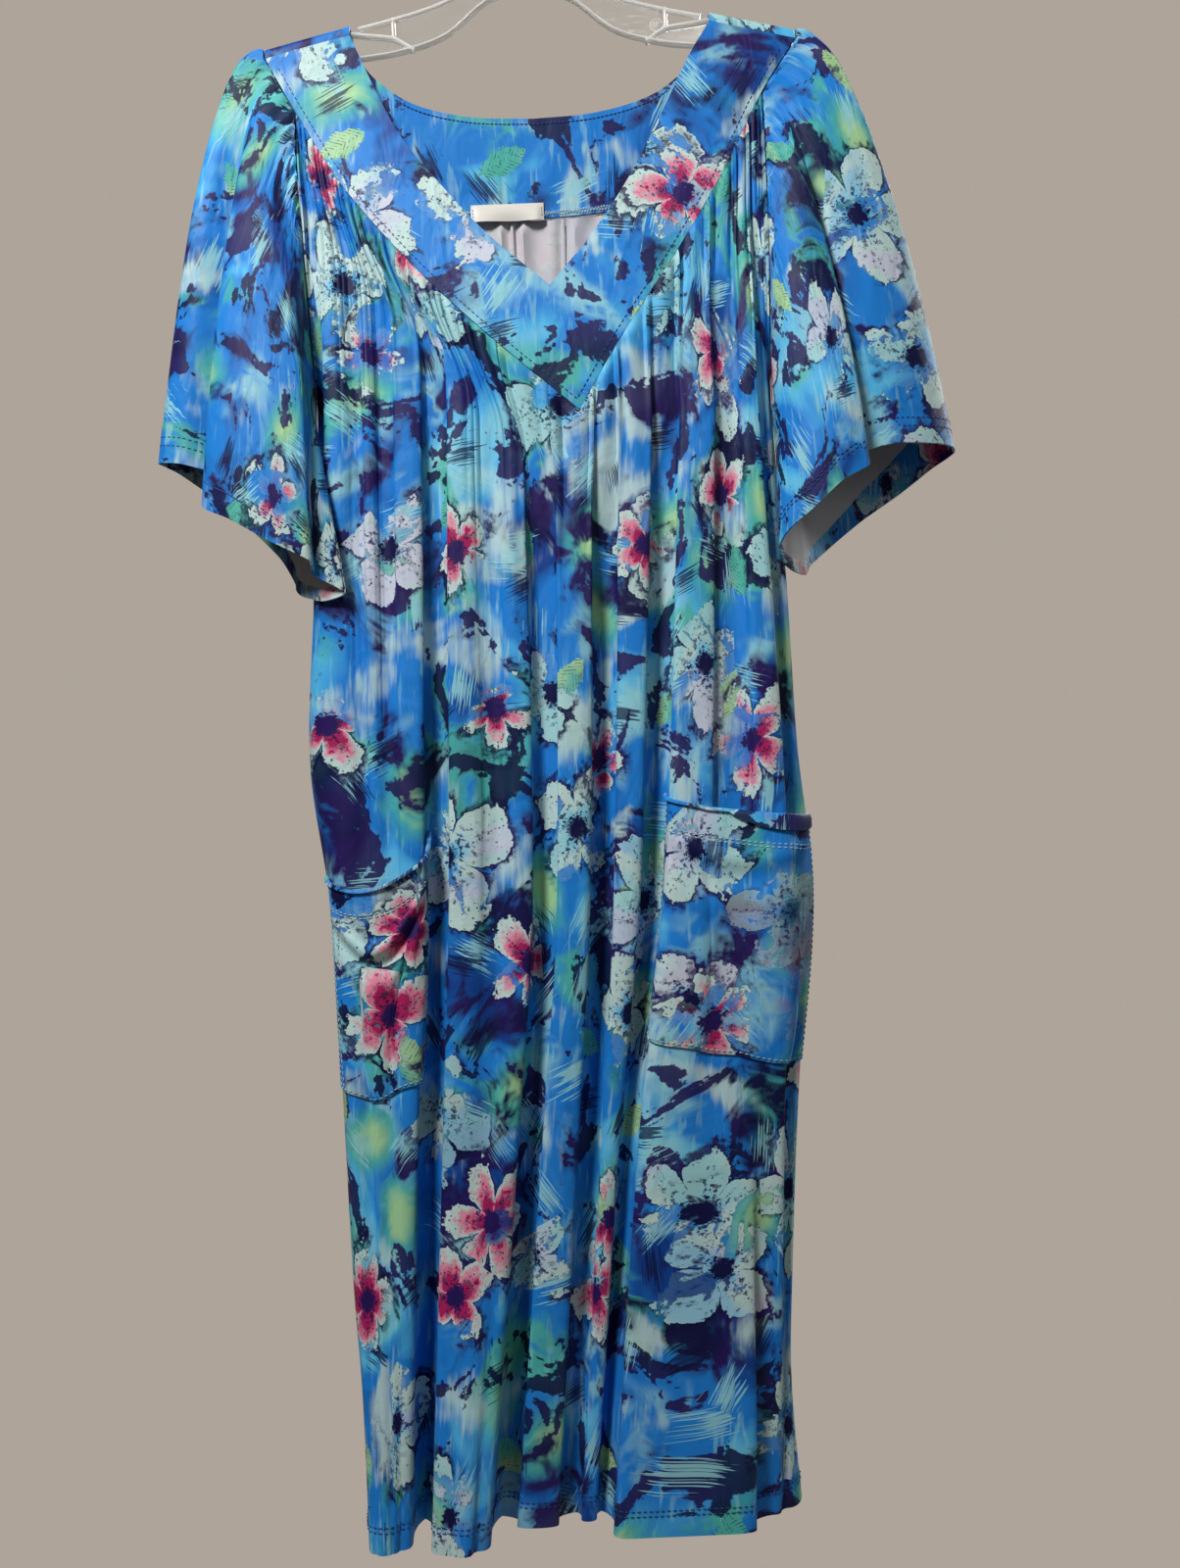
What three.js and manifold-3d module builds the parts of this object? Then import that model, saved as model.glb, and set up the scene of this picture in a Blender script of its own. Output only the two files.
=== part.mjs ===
// A house dress hanging on a moulded hanger, in millimetres.
// +X is to the right of someone facing the dress, +Y points away from them and +Z up.
// The origin is the seat of the hanger's hook, where a rail or peg touches it.
import * as THREE from "three";
import { mergeVertices } from "three/addons/utils/BufferGeometryUtils.js";
import Module from "manifold-3d";

const wasm = await Module();
wasm.setup();

// Driving dimensions. "down" is measured from the shoulder at the neck, towards the hem.
const SEAT_TO_SHOULDER = 122;
const DRESS_LENGTH = 1100;
const CLOTH = 1.2; // wall of one panel
const SEAM_GAP = 0.4; // between the edges of two pieces
const NECK_HALF = 133; // half the neck opening, along the hanger
const SHOULDER_END = 196; // where the yoke ends and the sleeve head begins
const SHOULDER_SLOPE = 0.24;
const ROLL = 4.5; // radius of the cloth over the hanger's rail
const SEAM_FORWARD = 8; // the shoulder seam lies this far down the front
const UNDERARM = 290;
const YOKE_BULGE = 25; // how far the point of the yoke hangs in front of the hanger
const YOKE_BULGE_DOWN = 290;
const BACK_BULGE = 16;
const BACK_BULGE_DOWN = 170;

// The body's outline seen from the front: half widths below the armhole.
const BODY_SIDES = [
  { down: 60, left: 173, right: 168 },
  { down: 200, left: 169, right: 168 },
  { down: 290, left: 168, right: 168 },
  { down: 430, left: 176, right: 174 },
  { down: 545, left: 183, right: 177 },
  { down: 655, left: 171, right: 185 },
  { down: 780, left: 167, right: 170 },
  { down: 930, left: 163, right: 158 },
  { down: 1000, left: 158, right: 154 },
  { down: 1108, left: 156, right: 159 },
];

// Front yoke, from each shoulder (share 0) to the point of the V (share 1).
const FRONT_YOKE_LEFT = [
  { share: 0, inX: -133, inDown: 8, outX: -196, outDown: 23 },
  { share: 0.2, inX: -117, inDown: 46, outX: -174, outDown: 65 },
  { share: 0.4, inX: -98, inDown: 86, outX: -141, outDown: 123 },
  { share: 0.6, inX: -71, inDown: 123, outX: -98, outDown: 178 },
  { share: 0.8, inX: -35, inDown: 166, outX: -45, outDown: 234 },
  { share: 1, inX: 8, inDown: 206, outX: 26, outDown: 298 },
];
const FRONT_YOKE_RIGHT = [
  { share: 0, inX: 133, inDown: 8, outX: 196, outDown: 23 },
  { share: 0.2, inX: 117, inDown: 33, outX: 169, outDown: 63 },
  { share: 0.4, inX: 95, inDown: 76, outX: 135, outDown: 128 },
  { share: 0.6, inX: 69, inDown: 125, outX: 98, outDown: 188 },
  { share: 0.8, inX: 39, inDown: 169, outX: 58, outDown: 246 },
  { share: 1, inX: 8, inDown: 206, outX: 26, outDown: 298 },
];
const SLEEVE_TOP_SHARE = 0.2; // the sleeve head is sewn to the yoke above this share

// Back yoke, from the shoulder (share 0) to the middle (share 1); the other half is its mirror.
const BACK_YOKE = [
  { share: 0, inX: 133, inDown: 0, outX: 196, outDown: 15 },
  { share: 0.2, inX: 129, inDown: 18, outX: 188, outDown: 58 },
  { share: 0.4, inX: 116, inDown: 36, outX: 178, outDown: 106 },
  { share: 0.6, inX: 90, inDown: 54, outX: 121, outDown: 124 },
  { share: 0.8, inX: 48, inDown: 65, outX: 61, outDown: 135 },
  { share: 1, inX: 0, inDown: 68, outX: 0, outDown: 139 },
];
const BACK_CORNER_SHARE = 0.4; // the armhole edge of the back yoke ends here

// Crests and valleys, from left to right: first x near the yoke, at the pockets, below them
// and at the hem, then the distance from the hanger's plane at the same four levels.
const FOLD_DOWNS = [300, 650, 820, 1100];
const FRONT_FOLDS = [
  [-151, -155, -153, -149, 20, 27, 38, 55],
  [-136, -141, -142, -142, 15, 25, 36, 58],
  [-127, -134, -138, -139, 24, 30, 39, 58],
  [-118, -124, -131, -135, 18, 28, 39, 56],
  [-99, -108, -119, -130, 28, 36, 41, 52],
  [-79, -92, -102, -118, 16, 15, 14, 14],
  [-60, -68, -79, -97, 29, 38, 46, 60],
  [-42, -47, -59, -85, 23, 32, 43, 64],
  [-24, -30, -46, -75, 29, 38, 45, 57],
  [-6, -14, -31, -62, 20, 20, 17, 14],
  [23, 9, -8, -35, 30, 38, 36, 32],
  [45, 29, 16, -8, 15, 14, 13, 13],
  [66, 47, 29, 2, 30, 37, 32, 26],
  [89, 63, 39, 11, 15, 14, 13, 13],
  [110, 86, 60, 30, 29, 39, 43, 48],
  [137, 127, 118, 104, 17, 28, 38, 48],
  [150, 152, 144, 134, 27, 36, 34, 26],
  [161, 172, 160, 147, 15, 16, 17, 18],
];
const V_FOLD = 10; // the crest that hangs from the point of the yoke
const BACK_FOLDS = [
  [-140, -146, -142, -136, 20, 30, 35, 42],
  [-106, -112, -112, -110, 14, 14, 14, 14],
  [-72, -78, -81, -84, 23, 34, 38, 46],
  [-36, -42, -46, -52, 15, 15, 15, 15],
  [0, -6, -11, -18, 24, 35, 40, 48],
  [36, 33, 28, 20, 15, 16, 16, 15],
  [72, 72, 66, 56, 23, 33, 38, 46],
  [108, 110, 104, 94, 14, 15, 15, 14],
  [140, 146, 141, 132, 20, 30, 34, 40],
];
const FOLD_SQUARENESS = 0.13; // 0.16 would make the sides of a fold upright
const FOLD_FULLNESS = 0.7; // below 1, crests are broad and valleys narrow
const FRONT_COLUMNS_PER_FOLD = 4;
const FRONT_ROWS = 18;
const BACK_COLUMNS_PER_FOLD = 4;
const BACK_ROWS = 12;
const ROW_CROWDING = 1.25; // rows lie closer together near the yoke
const GATHER_DEPTH = 2.6;
const GATHER_FADE = 90; // gathers melt into the folds this far below the yoke
const FOLD_START = 190; // folds reach their depth this far below the yoke

// Hem of each sleeve as seen from below: a row for each fold, from the outer edge round the
// front to the inner corner and back round the rear. "head" is where the fold starts on the
// armhole, 0 at the shoulder and 1 at the underarm.
const SLEEVE_LEFT = [
  { x: -287, y: 0, down: 318, head: 0 },
  { x: -280, y: -10, down: 320, head: 0.02 },
  { x: -264, y: -16, down: 323, head: 0.05 },
  { x: -236, y: -11, down: 333, head: 0.09 },
  { x: -246, y: -35, down: 358, head: 0.13 },
  { x: -224, y: -46, down: 371, head: 0.2 },
  { x: -196, y: -49, down: 388, head: 0.31 },
  { x: -170, y: -46, down: 402, head: 0.46 },
  { x: -172, y: -36, down: 412, head: 0.7 },
  { x: -155, y: -33, down: 424, head: 1 },
  { x: -172, y: -25, down: 428, head: 0.96 },
  { x: -187, y: -9, down: 422, head: 0.88 },
  { x: -191, y: 11, down: 410, head: 0.74 },
  { x: -205, y: 26, down: 388, head: 0.56 },
  { x: -230, y: 32, down: 362, head: 0.36 },
  { x: -256, y: 26, down: 338, head: 0.19 },
  { x: -276, y: 15, down: 323, head: 0.06 },
  { x: -284, y: 8, down: 319, head: 0.02 },
];
const SLEEVE_RIGHT = [
  { x: 304, y: 4, down: 331, head: 0 },
  { x: 298, y: -9, down: 330, head: 0.02 },
  { x: 282, y: -21, down: 330, head: 0.05 },
  { x: 254, y: -30, down: 331, head: 0.09 },
  { x: 232, y: -32, down: 336, head: 0.13 },
  { x: 224, y: -30, down: 343, head: 0.18 },
  { x: 229, y: -46, down: 350, head: 0.26 },
  { x: 208, y: -50, down: 362, head: 0.42 },
  { x: 190, y: -42, down: 384, head: 0.68 },
  { x: 180, y: -27, down: 402, head: 1 },
  { x: 187, y: -12, down: 416, head: 0.96 },
  { x: 190, y: 5, down: 418, head: 0.88 },
  { x: 197, y: 22, down: 408, head: 0.74 },
  { x: 216, y: 38, down: 392, head: 0.56 },
  { x: 242, y: 42, down: 372, head: 0.36 },
  { x: 270, y: 36, down: 354, head: 0.19 },
  { x: 291, y: 22, down: 339, head: 0.06 },
  { x: 300, y: 13, down: 334, head: 0.02 },
];
const SLEEVE_COLUMNS_PER_FOLD = 2;
const SLEEVE_ROWS = 9;
const SLEEVE_SHOULDER_REACH = 32; // cloth runs this far past the yoke before it falls
const SLEEVE_GATHER = 1.5;
const SLEEVE_GATHER_SHARE = 0.3; // of the sleeve's length
const SLEEVE_SEAM = { shoulder: 1.1, underarm: 1.7 }; // between the middles of the walls

// Patch pockets: the fold lines they reach between, their mouths and bottom seams, and how
// far the mouth gapes. A lean above 1 moves the gape to the right.
const POCKETS = [
  {
    name: "pocket_left",
    from: 0.5,
    to: 5.75,
    mouth: { start: 628, middle: 636, end: 598 },
    bottom: { start: 779, middle: 788, end: 771 },
    sag: 14,
    lean: 0.85,
  },
  {
    name: "pocket_right",
    from: 14.25,
    to: 18.5,
    mouth: { start: 578, middle: 593, end: 597 },
    bottom: { start: 746, middle: 768, end: 775 },
    sag: 14,
    lean: 1.9,
  },
];
const POCKET_ROWS = 8;
const POCKET_LIFT = 1.8; // from the front's middle surface to the pocket's, at its seams

const LABEL = { left: -50, right: 5, top: 128, bottom: 141, thickness: 0.5 };
const FACING = { halfWidth: 116, lift: 1.45, thickness: 1.0, columns: 16, rows: 3 };

// Hanger: an arched arm with a rail along its top and bottom edges and a thin web between.
const RAIL = 3.5; // half the width of a rail, and the radius of its top
const WEB = 1.1; // half the thickness of the web
const RAIL_HEIGHT = 5;
const ARM_END = 203;
const ARM_STATIONS = 26;
const ARM_CLEAR = 0.95; // from the middle of the cloth down to the top of the rail
const ARM_ARCH = [
  { x: 0, top: -58, bottom: -22 },
  { x: 14, top: -54, bottom: -21 },
  { x: 34, top: -34, bottom: -12 },
  { x: 62, top: -18, bottom: 10 },
  { x: 96, top: -7.5, bottom: 21 },
  { x: 133, top: 0.95, bottom: 26 },
  { x: 170, top: 9.8, bottom: 33 },
  { x: 196, top: 16.1, bottom: 37 },
  { x: 203, top: 17.7, bottom: 33 },
];
const HOOK_RADIUS = 21; // to the middle of the hook's rod
const HOOK_ROD = 3.2;
const HOOK_SIDES = 10;
const HOOK_END_ANGLE = 215; // degrees of arc from the stem's side round to the tip
const STEM_FOOT = 50; // above the shoulder, inside the arm's crown

// Colours of the plain model.
const PRINT_BLUE = 0x2f86cf;
const YOKE_BLUE = 0x4a9ad6;
const POCKET_BLUE = 0x2a6fb8;
const LABEL_WHITE = 0xf1efea;
const CLEAR_PLASTIC = 0xe9ecec;

const lerp = (a, b, t) => a + (b - a) * t;
const clamp = (v) => Math.min(1, Math.max(0, v));
const smooth = (v) => {
  const t = clamp(v);
  return t * t * (3 - 2 * t);
};
const height = (down) => -SEAT_TO_SHOULDER - down;

// A smooth curve through a table's rows, read at a value of one of its columns.
function read(rows, by, key, at) {
  const last = rows.length - 1;
  let i = 0;
  while (i < last - 1 && at > rows[i + 1][by]) i += 1;
  const [a, b] = [rows[i], rows[i + 1]];
  const span = b[by] - a[by];
  const t = clamp((at - a[by]) / span);
  const slope = (j) => {
    const [p, q] = [rows[Math.max(0, j - 1)], rows[Math.min(last, j + 1)]];
    return (q[key] - p[key]) / (q[by] - p[by]);
  };
  const [t2, t3] = [t * t, t * t * t];
  return (
    (2 * t3 - 3 * t2 + 1) * a[key] +
    (t3 - 2 * t2 + t) * span * slope(i) +
    (3 * t2 - 2 * t3) * b[key] +
    (t3 - t2) * span * slope(i + 1)
  );
}

// The top line of the hanger's shoulders, and the cloth that rolls over it.
const ridge = (x) => Math.max(0, Math.abs(x) - NECK_HALF) * SHOULDER_SLOPE;
function roll(below) {
  return below >= ROLL ? ROLL : Math.sqrt(Math.max(0, ROLL * ROLL - (ROLL - below) ** 2));
}
const yokeFront = (x, down) =>
  -roll(down - ridge(x)) - YOKE_BULGE * smooth((down - ridge(x)) / YOKE_BULGE_DOWN);
const yokeBack = (x, down) =>
  roll(down - ridge(x)) + BACK_BULGE * smooth((down - ridge(x)) / BACK_BULGE_DOWN);

// A closed wall around a grid of points: grid[row][column] is its middle surface.
function wall(grid, thickness, wraps = false) {
  const rows = grid.length;
  const columns = grid[0].length;
  const at = (r, c) => {
    const row = Math.min(rows - 1, Math.max(0, r));
    const column = wraps ? (c + columns) % columns : Math.min(columns - 1, Math.max(0, c));
    return grid[row][column];
  };
  const position = [];
  for (const side of [1, -1]) {
    for (let r = 0; r < rows; r += 1) {
      for (let c = 0; c < columns; c += 1) {
        const across = new THREE.Vector3().subVectors(at(r, c + 1), at(r, c - 1));
        const along = new THREE.Vector3().subVectors(at(r + 1, c), at(r - 1, c));
        const normal = along.cross(across).normalize();
        const p = grid[r][c].clone().addScaledVector(normal, (side * thickness) / 2);
        position.push(p.x, p.y, p.z);
      }
    }
  }
  const index = [];
  const id = (side, r, c) => side * rows * columns + r * columns + (c % columns);
  const quad = (a, b, c, d) => index.push(a, b, c, a, c, d);
  const spans = wraps ? columns : columns - 1;
  for (let r = 0; r < rows - 1; r += 1) {
    for (let c = 0; c < spans; c += 1) {
      quad(id(0, r, c), id(0, r + 1, c), id(0, r + 1, c + 1), id(0, r, c + 1));
      quad(id(1, r, c), id(1, r, c + 1), id(1, r + 1, c + 1), id(1, r + 1, c));
    }
  }
  for (let c = 0; c < spans; c += 1) {
    quad(id(0, 0, c), id(0, 0, c + 1), id(1, 0, c + 1), id(1, 0, c));
    quad(id(0, rows - 1, c + 1), id(0, rows - 1, c), id(1, rows - 1, c), id(1, rows - 1, c + 1));
  }
  for (let r = 0; !wraps && r < rows - 1; r += 1) {
    quad(id(0, r + 1, 0), id(0, r, 0), id(1, r, 0), id(1, r + 1, 0));
    quad(
      id(0, r, columns - 1),
      id(0, r + 1, columns - 1),
      id(1, r + 1, columns - 1),
      id(1, r, columns - 1),
    );
  }
  const geometry = new THREE.BufferGeometry();
  geometry.setAttribute("position", new THREE.Float32BufferAttribute(position, 3));
  geometry.setIndex(index);
  return geometry;
}

// One panel of the body: its fold lines, the side of the hanger it lies on and its top seam.
function panel({ folds, facing, yoke, middleFold, seamLeft, seamRight, armhole }) {
  const lines = folds.length + 1;
  const side = (sign, down) =>
    sign * read(BODY_SIDES, "down", sign < 0 ? "left" : "right", Math.max(60, down));
  // The x and depth of fold line k; 0 and the last are the side edges.
  const line = (k, down) => {
    if (k === 0 || k === lines) {
      const sign = k === 0 ? -1 : 1;
      return { x: side(sign, down), out: armhole(down) };
    }
    const fold = folds[k - 1];
    const levels = FOLD_DOWNS.length;
    const rows = FOLD_DOWNS.map((at, i) => ({ at, x: fold[i], out: fold[i + levels] }));
    const sign = fold[0] < 0 ? -1 : 1;
    const scale = down < FOLD_DOWNS[0] ? side(sign, down) / side(sign, FOLD_DOWNS[0]) : 1;
    return {
      x: read(rows, "at", "x", down) * scale,
      out: read(rows, "at", "out", down),
    };
  };
  // Where a column of cloth lies at a height, away from the top seam.
  const hanging = (column, down) => {
    const k = Math.min(lines - 1, Math.floor(column));
    const s = column - k;
    const [a, b] = [line(k, down), line(k + 1, down)];
    const rising = (b.out > a.out ? s : 1 - s) ** FOLD_FULLNESS;
    const fold = {
      x: lerp(a.x, b.x, s + FOLD_SQUARENESS * Math.sin(2 * Math.PI * s)),
      out: lerp(
        Math.min(a.out, b.out),
        Math.max(a.out, b.out),
        (1 - Math.cos(Math.PI * rising)) / 2,
      ),
    };
    if (k > 0 && k < lines - 1) return fold;
    const quarter = ((k === 0 ? s : 1 - s) * Math.PI) / 2;
    const [edge, inner] = k === 0 ? [a, b] : [b, a];
    const turned = {
      x: lerp(edge.x, inner.x, 1 - Math.cos(quarter)),
      out: lerp(edge.out, inner.out, Math.sin(quarter)),
    };
    const round = smooth((down - UNDERARM) / 80);
    return { x: lerp(fold.x, turned.x, round), out: lerp(fold.out, turned.out, round) };
  };
  // The point of the top seam that a column starts from.
  const seam = (column) => {
    const x = hanging(column, FOLD_DOWNS[0]).x;
    const middle = line(middleFold, FOLD_DOWNS[0]).x;
    const [near, table, end] =
      x <= middle
        ? [side(-1, FOLD_DOWNS[0]), seamLeft, 0]
        : [side(1, FOLD_DOWNS[0]), seamRight, lines];
    const share = clamp((x - near) / (middle - near));
    return table(column === end ? 0 : share);
  };
  const gathers = (column) => Math.cos(Math.PI * column * FRONT_COLUMNS_PER_FOLD);
  const point = (column, down) => {
    const top = seam(column);
    const below = Math.max(0, down - top.down);
    const free = hanging(column, down);
    const formed = smooth(below / FOLD_START);
    const edge = column === 0 || column === lines;
    const depth = edge
      ? free.out
      : lerp(yoke(top.x, top.down) * facing, free.out, formed) +
        GATHER_DEPTH * gathers(column) * smooth(below / 12) * Math.exp(-below / GATHER_FADE) -
        0.3 * gathers(column);
    const x = lerp(top.x, free.x, smooth(below / GATHER_FADE));
    return new THREE.Vector3(x, facing * depth, height(down));
  };
  return { lines, seam, point };
}

// Distance of a body edge from the hanger's plane: the armhole gapes, the side seam is closed.
const openArmhole = (start, startOut, gape) => (down) => {
  const t = clamp((down - start) / (UNDERARM - start));
  return SEAM_GAP / 2 + lerp(startOut, 0, smooth(t)) + gape * Math.sin(Math.PI * t);
};
const seamReader = (table, from) => (share) => {
  const at = lerp(from, 1, share);
  return {
    x: read(table, "share", "outX", at),
    down: read(table, "share", "outDown", at) + 2 * SEAM_GAP,
  };
};
const mirrored = (table) => table.map((row) => ({ ...row, inX: -row.inX, outX: -row.outX }));
const BACK_YOKE_LEFT = mirrored(BACK_YOKE);

const front = panel({
  folds: FRONT_FOLDS,
  facing: -1,
  yoke: yokeFront,
  middleFold: V_FOLD + 1,
  seamLeft: seamReader(FRONT_YOKE_LEFT, SLEEVE_TOP_SHARE),
  seamRight: seamReader(FRONT_YOKE_RIGHT, SLEEVE_TOP_SHARE),
  armhole: openArmhole(65, 6, 14),
});
const back = panel({
  folds: BACK_FOLDS,
  facing: 1,
  yoke: yokeBack,
  middleFold: 5,
  seamLeft: seamReader(BACK_YOKE_LEFT, BACK_CORNER_SHARE),
  seamRight: seamReader(BACK_YOKE, BACK_CORNER_SHARE),
  armhole: openArmhole(106, 14, 6),
});

function bodyPanel(shape, columnsPerFold, rows, outward) {
  const columns = shape.lines * columnsPerFold;
  const grid = [];
  for (let r = 0; r <= rows; r += 1) {
    const row = [];
    for (let c = 0; c <= columns; c += 1) {
      const column = c / columnsPerFold;
      const top = shape.seam(column).down;
      row.push(shape.point(column, lerp(top, DRESS_LENGTH, (r / rows) ** ROW_CROWDING)));
    }
    grid.push(outward < 0 ? row : row.reverse());
  }
  return wall(grid, CLOTH);
}

// Yokes: a band from shoulder to shoulder, between the neck edge and the outer seam.
const YOKE_ROWS_PER_SIDE = 13;
const YOKE_COLUMNS = 5;
function bandGrid(left, right, depth, start = []) {
  const grid = [];
  const add = (table, share) => {
    const row = [];
    for (let c = 0; c <= YOKE_COLUMNS; c += 1) {
      const w = c / YOKE_COLUMNS;
      const [inX, inDown, outX, outDown] = ["inX", "inDown", "outX", "outDown"].map((key) =>
        read(table, "share", key, share),
      );
      const [x, down] = [lerp(inX, outX, w), lerp(inDown, outDown, w)];
      row.push(new THREE.Vector3(x, depth(x, down), height(down)));
    }
    return row;
  };
  const overRail = (table) =>
    start.map((angle) => {
      const sign = Math.sign(table[0].inX);
      const row = [];
      for (let c = 0; c <= YOKE_COLUMNS; c += 1) {
        const x = sign * lerp(NECK_HALF, SHOULDER_END, c / YOKE_COLUMNS);
        row.push(
          new THREE.Vector3(
            x,
            ROLL * Math.sin(angle),
            height(ridge(x) + ROLL * (1 - Math.cos(angle))),
          ),
        );
      }
      return row;
    });
  const shares = Array.from({ length: YOKE_ROWS_PER_SIDE + 1 }, (_, i) => i / YOKE_ROWS_PER_SIDE);
  const first = start.length ? 1 : 0;
  grid.push(...overRail(left));
  shares.slice(first).forEach((share) => grid.push(add(left, share)));
  shares
    .slice(first, -1)
    .reverse()
    .forEach((share) => grid.push(add(right, share)));
  grid.push(...overRail(right).reverse());
  return grid;
}

function frontYoke() {
  return wall(
    bandGrid(FRONT_YOKE_LEFT, FRONT_YOKE_RIGHT, yokeFront).map((row) => row.reverse()),
    CLOTH,
  );
}

function backYoke() {
  const seamDown = SEAM_FORWARD - SEAM_GAP;
  const straight = new THREE.Vector3(0, 0, -(seamDown - ROLL));
  const angles = [-90, -45, 0, 45, 90].map((a) => (a * Math.PI) / 180);
  const grid = bandGrid(BACK_YOKE_LEFT, BACK_YOKE, yokeBack, angles);
  const frontEdge = (row) => row.map((p) => p.clone().add(straight));
  grid.unshift(frontEdge(grid[0]));
  grid.push(frontEdge(grid[grid.length - 1]));
  return wall(grid, CLOTH);
}

// A panel inside the back yoke, from the neck edge to the seam of the gathered back.
const backEdge = (x, key) => {
  const table = BACK_YOKE.map((row) => ({ ...row, at: -row[`${key}X`] }));
  return read(table, "at", `${key}Down`, -Math.abs(x));
};
const facingPoint = (x, w, lift) => {
  const down = lerp(backEdge(x, "in"), backEdge(x, "out"), w);
  return new THREE.Vector3(x, yokeBack(x, down) - lift, height(down));
};
function backFacing() {
  const grid = [];
  for (let c = 0; c <= FACING.columns; c += 1) {
    const x = lerp(-FACING.halfWidth, FACING.halfWidth, c / FACING.columns);
    const row = [];
    for (let r = 0; r <= FACING.rows; r += 1) {
      row.push(facingPoint(x, r / FACING.rows, FACING.lift));
    }
    grid.push(row);
  }
  return wall(grid, FACING.thickness);
}

function label() {
  const lift = FACING.lift + FACING.thickness / 2 + SEAM_GAP + LABEL.thickness / 2;
  const grid = [0, 1, 2, 3, 4].map((c) => {
    const x = lerp(LABEL.left, LABEL.right, c / 4);
    return [LABEL.top, LABEL.bottom].map(
      (down) => new THREE.Vector3(x, yokeBack(x, LABEL.top) - lift, height(down)),
    );
  });
  return wall(grid, LABEL.thickness);
}

// Where the sleeve is sewn on: head 0 is the shoulder and 1 the underarm.
function armholePoint(sign, head, atBack) {
  const body = atBack ? back : front;
  const column = sign < 0 ? 0 : body.lines;
  const corner = body.seam(column).down;
  const shoulder = ridge(SHOULDER_END);
  const down = lerp(shoulder, UNDERARM + 1, head);
  const seam = lerp(SLEEVE_SEAM.shoulder, SLEEVE_SEAM.underarm, smooth(head * 3));
  if (down > corner) {
    const edge = body.point(column, down);
    return edge.setX(edge.x + sign * seam);
  }
  const table = atBack ? BACK_YOKE : sign < 0 ? FRONT_YOKE_LEFT : FRONT_YOKE_RIGHT;
  const x = Math.abs(read(table, "outDown", "outX", Math.max(down, table[0].outDown)));
  const wider = 1 + 0.35 * (1 - smooth((down - shoulder) / 30));
  const y = (atBack ? yokeBack : yokeFront)(SHOULDER_END, down) * wider;
  return new THREE.Vector3(sign * (x + seam), y, height(down));
}

function sleevePoint(rows, sign, column, t) {
  const count = rows.length;
  const k = Math.floor(column) % count;
  const s = column - Math.floor(column);
  const [a, b] = [rows[k], rows[(k + 1) % count]];
  const inner = rows.findIndex((row) => row.head === 1);
  const hem = new THREE.Vector3(
    lerp(a.x, b.x, s),
    lerp(a.y, b.y, s),
    height(lerp(a.down, b.down, s)),
  );
  const head = lerp(a.head, b.head, s);
  const start = armholePoint(sign, head, k >= inner);
  const top = 1 - smooth(head / 0.6);
  const out = start.clone();
  out.x += sign * lerp(4, SLEEVE_SHOULDER_REACH, top);
  out.y = lerp(lerp(start.y, hem.y, 0.5), start.y, top);
  out.z -= lerp(30, -3, top);
  const above = hem.clone();
  above.x = lerp(hem.x, start.x, lerp(0.1, 0.33, top));
  above.z = lerp(hem.z, start.z, lerp(0.4, 0.68, top));
  const path = new THREE.CubicBezierCurve3(start, out, above, hem);
  const p = path.getPoint(t);
  const gathered = Math.cos(Math.PI * column * SLEEVE_COLUMNS_PER_FOLD);
  const fade = smooth(t / 0.06) * (1 - smooth(t / SLEEVE_GATHER_SHARE));
  p.y += SLEEVE_GATHER * gathered * fade * (head > 0.03 && head < 0.6 ? 1 : 0);
  return p;
}

function sleeve(rows, sign) {
  const columns = rows.length * SLEEVE_COLUMNS_PER_FOLD;
  const grid = [];
  for (let r = 0; r <= SLEEVE_ROWS; r += 1) {
    const row = [];
    for (let c = 0; c < columns; c += 1) {
      row.push(sleevePoint(rows, sign, c / SLEEVE_COLUMNS_PER_FOLD, r / SLEEVE_ROWS));
    }
    grid.push(sign < 0 ? row : row.reverse());
  }
  return wall(grid, CLOTH, true);
}

function pocket({ from, to, mouth, bottom, sag, lean }) {
  const curve = (edge, s) =>
    lerp(edge.start, edge.end, s) + 4 * s * (1 - s) * (edge.middle - lerp(edge.start, edge.end, 0.5));
  const columns = (to - from) * FRONT_COLUMNS_PER_FOLD;
  const grid = [];
  for (let r = 0; r <= POCKET_ROWS; r += 1) {
    const w = r / POCKET_ROWS;
    const row = [];
    for (let c = 0; c <= columns; c += 1) {
      const s = c / columns;
      const column = lerp(from, to, s);
      const down = lerp(curve(mouth, s), curve(bottom, s), w);
      const step = 0.02;
      const across = front
        .point(column + step, down)
        .sub(front.point(column - step, down));
      const outward = new THREE.Vector3(across.y, -across.x, 0).normalize();
      const open = Math.max(0, Math.sin(Math.PI * s ** lean)) ** 0.8 * (1 - w) ** 0.6;
      row.push(front.point(column, down).addScaledVector(outward, POCKET_LIFT + sag * open));
    }
    grid.push(row);
  }
  return wall(grid, CLOTH);
}

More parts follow.
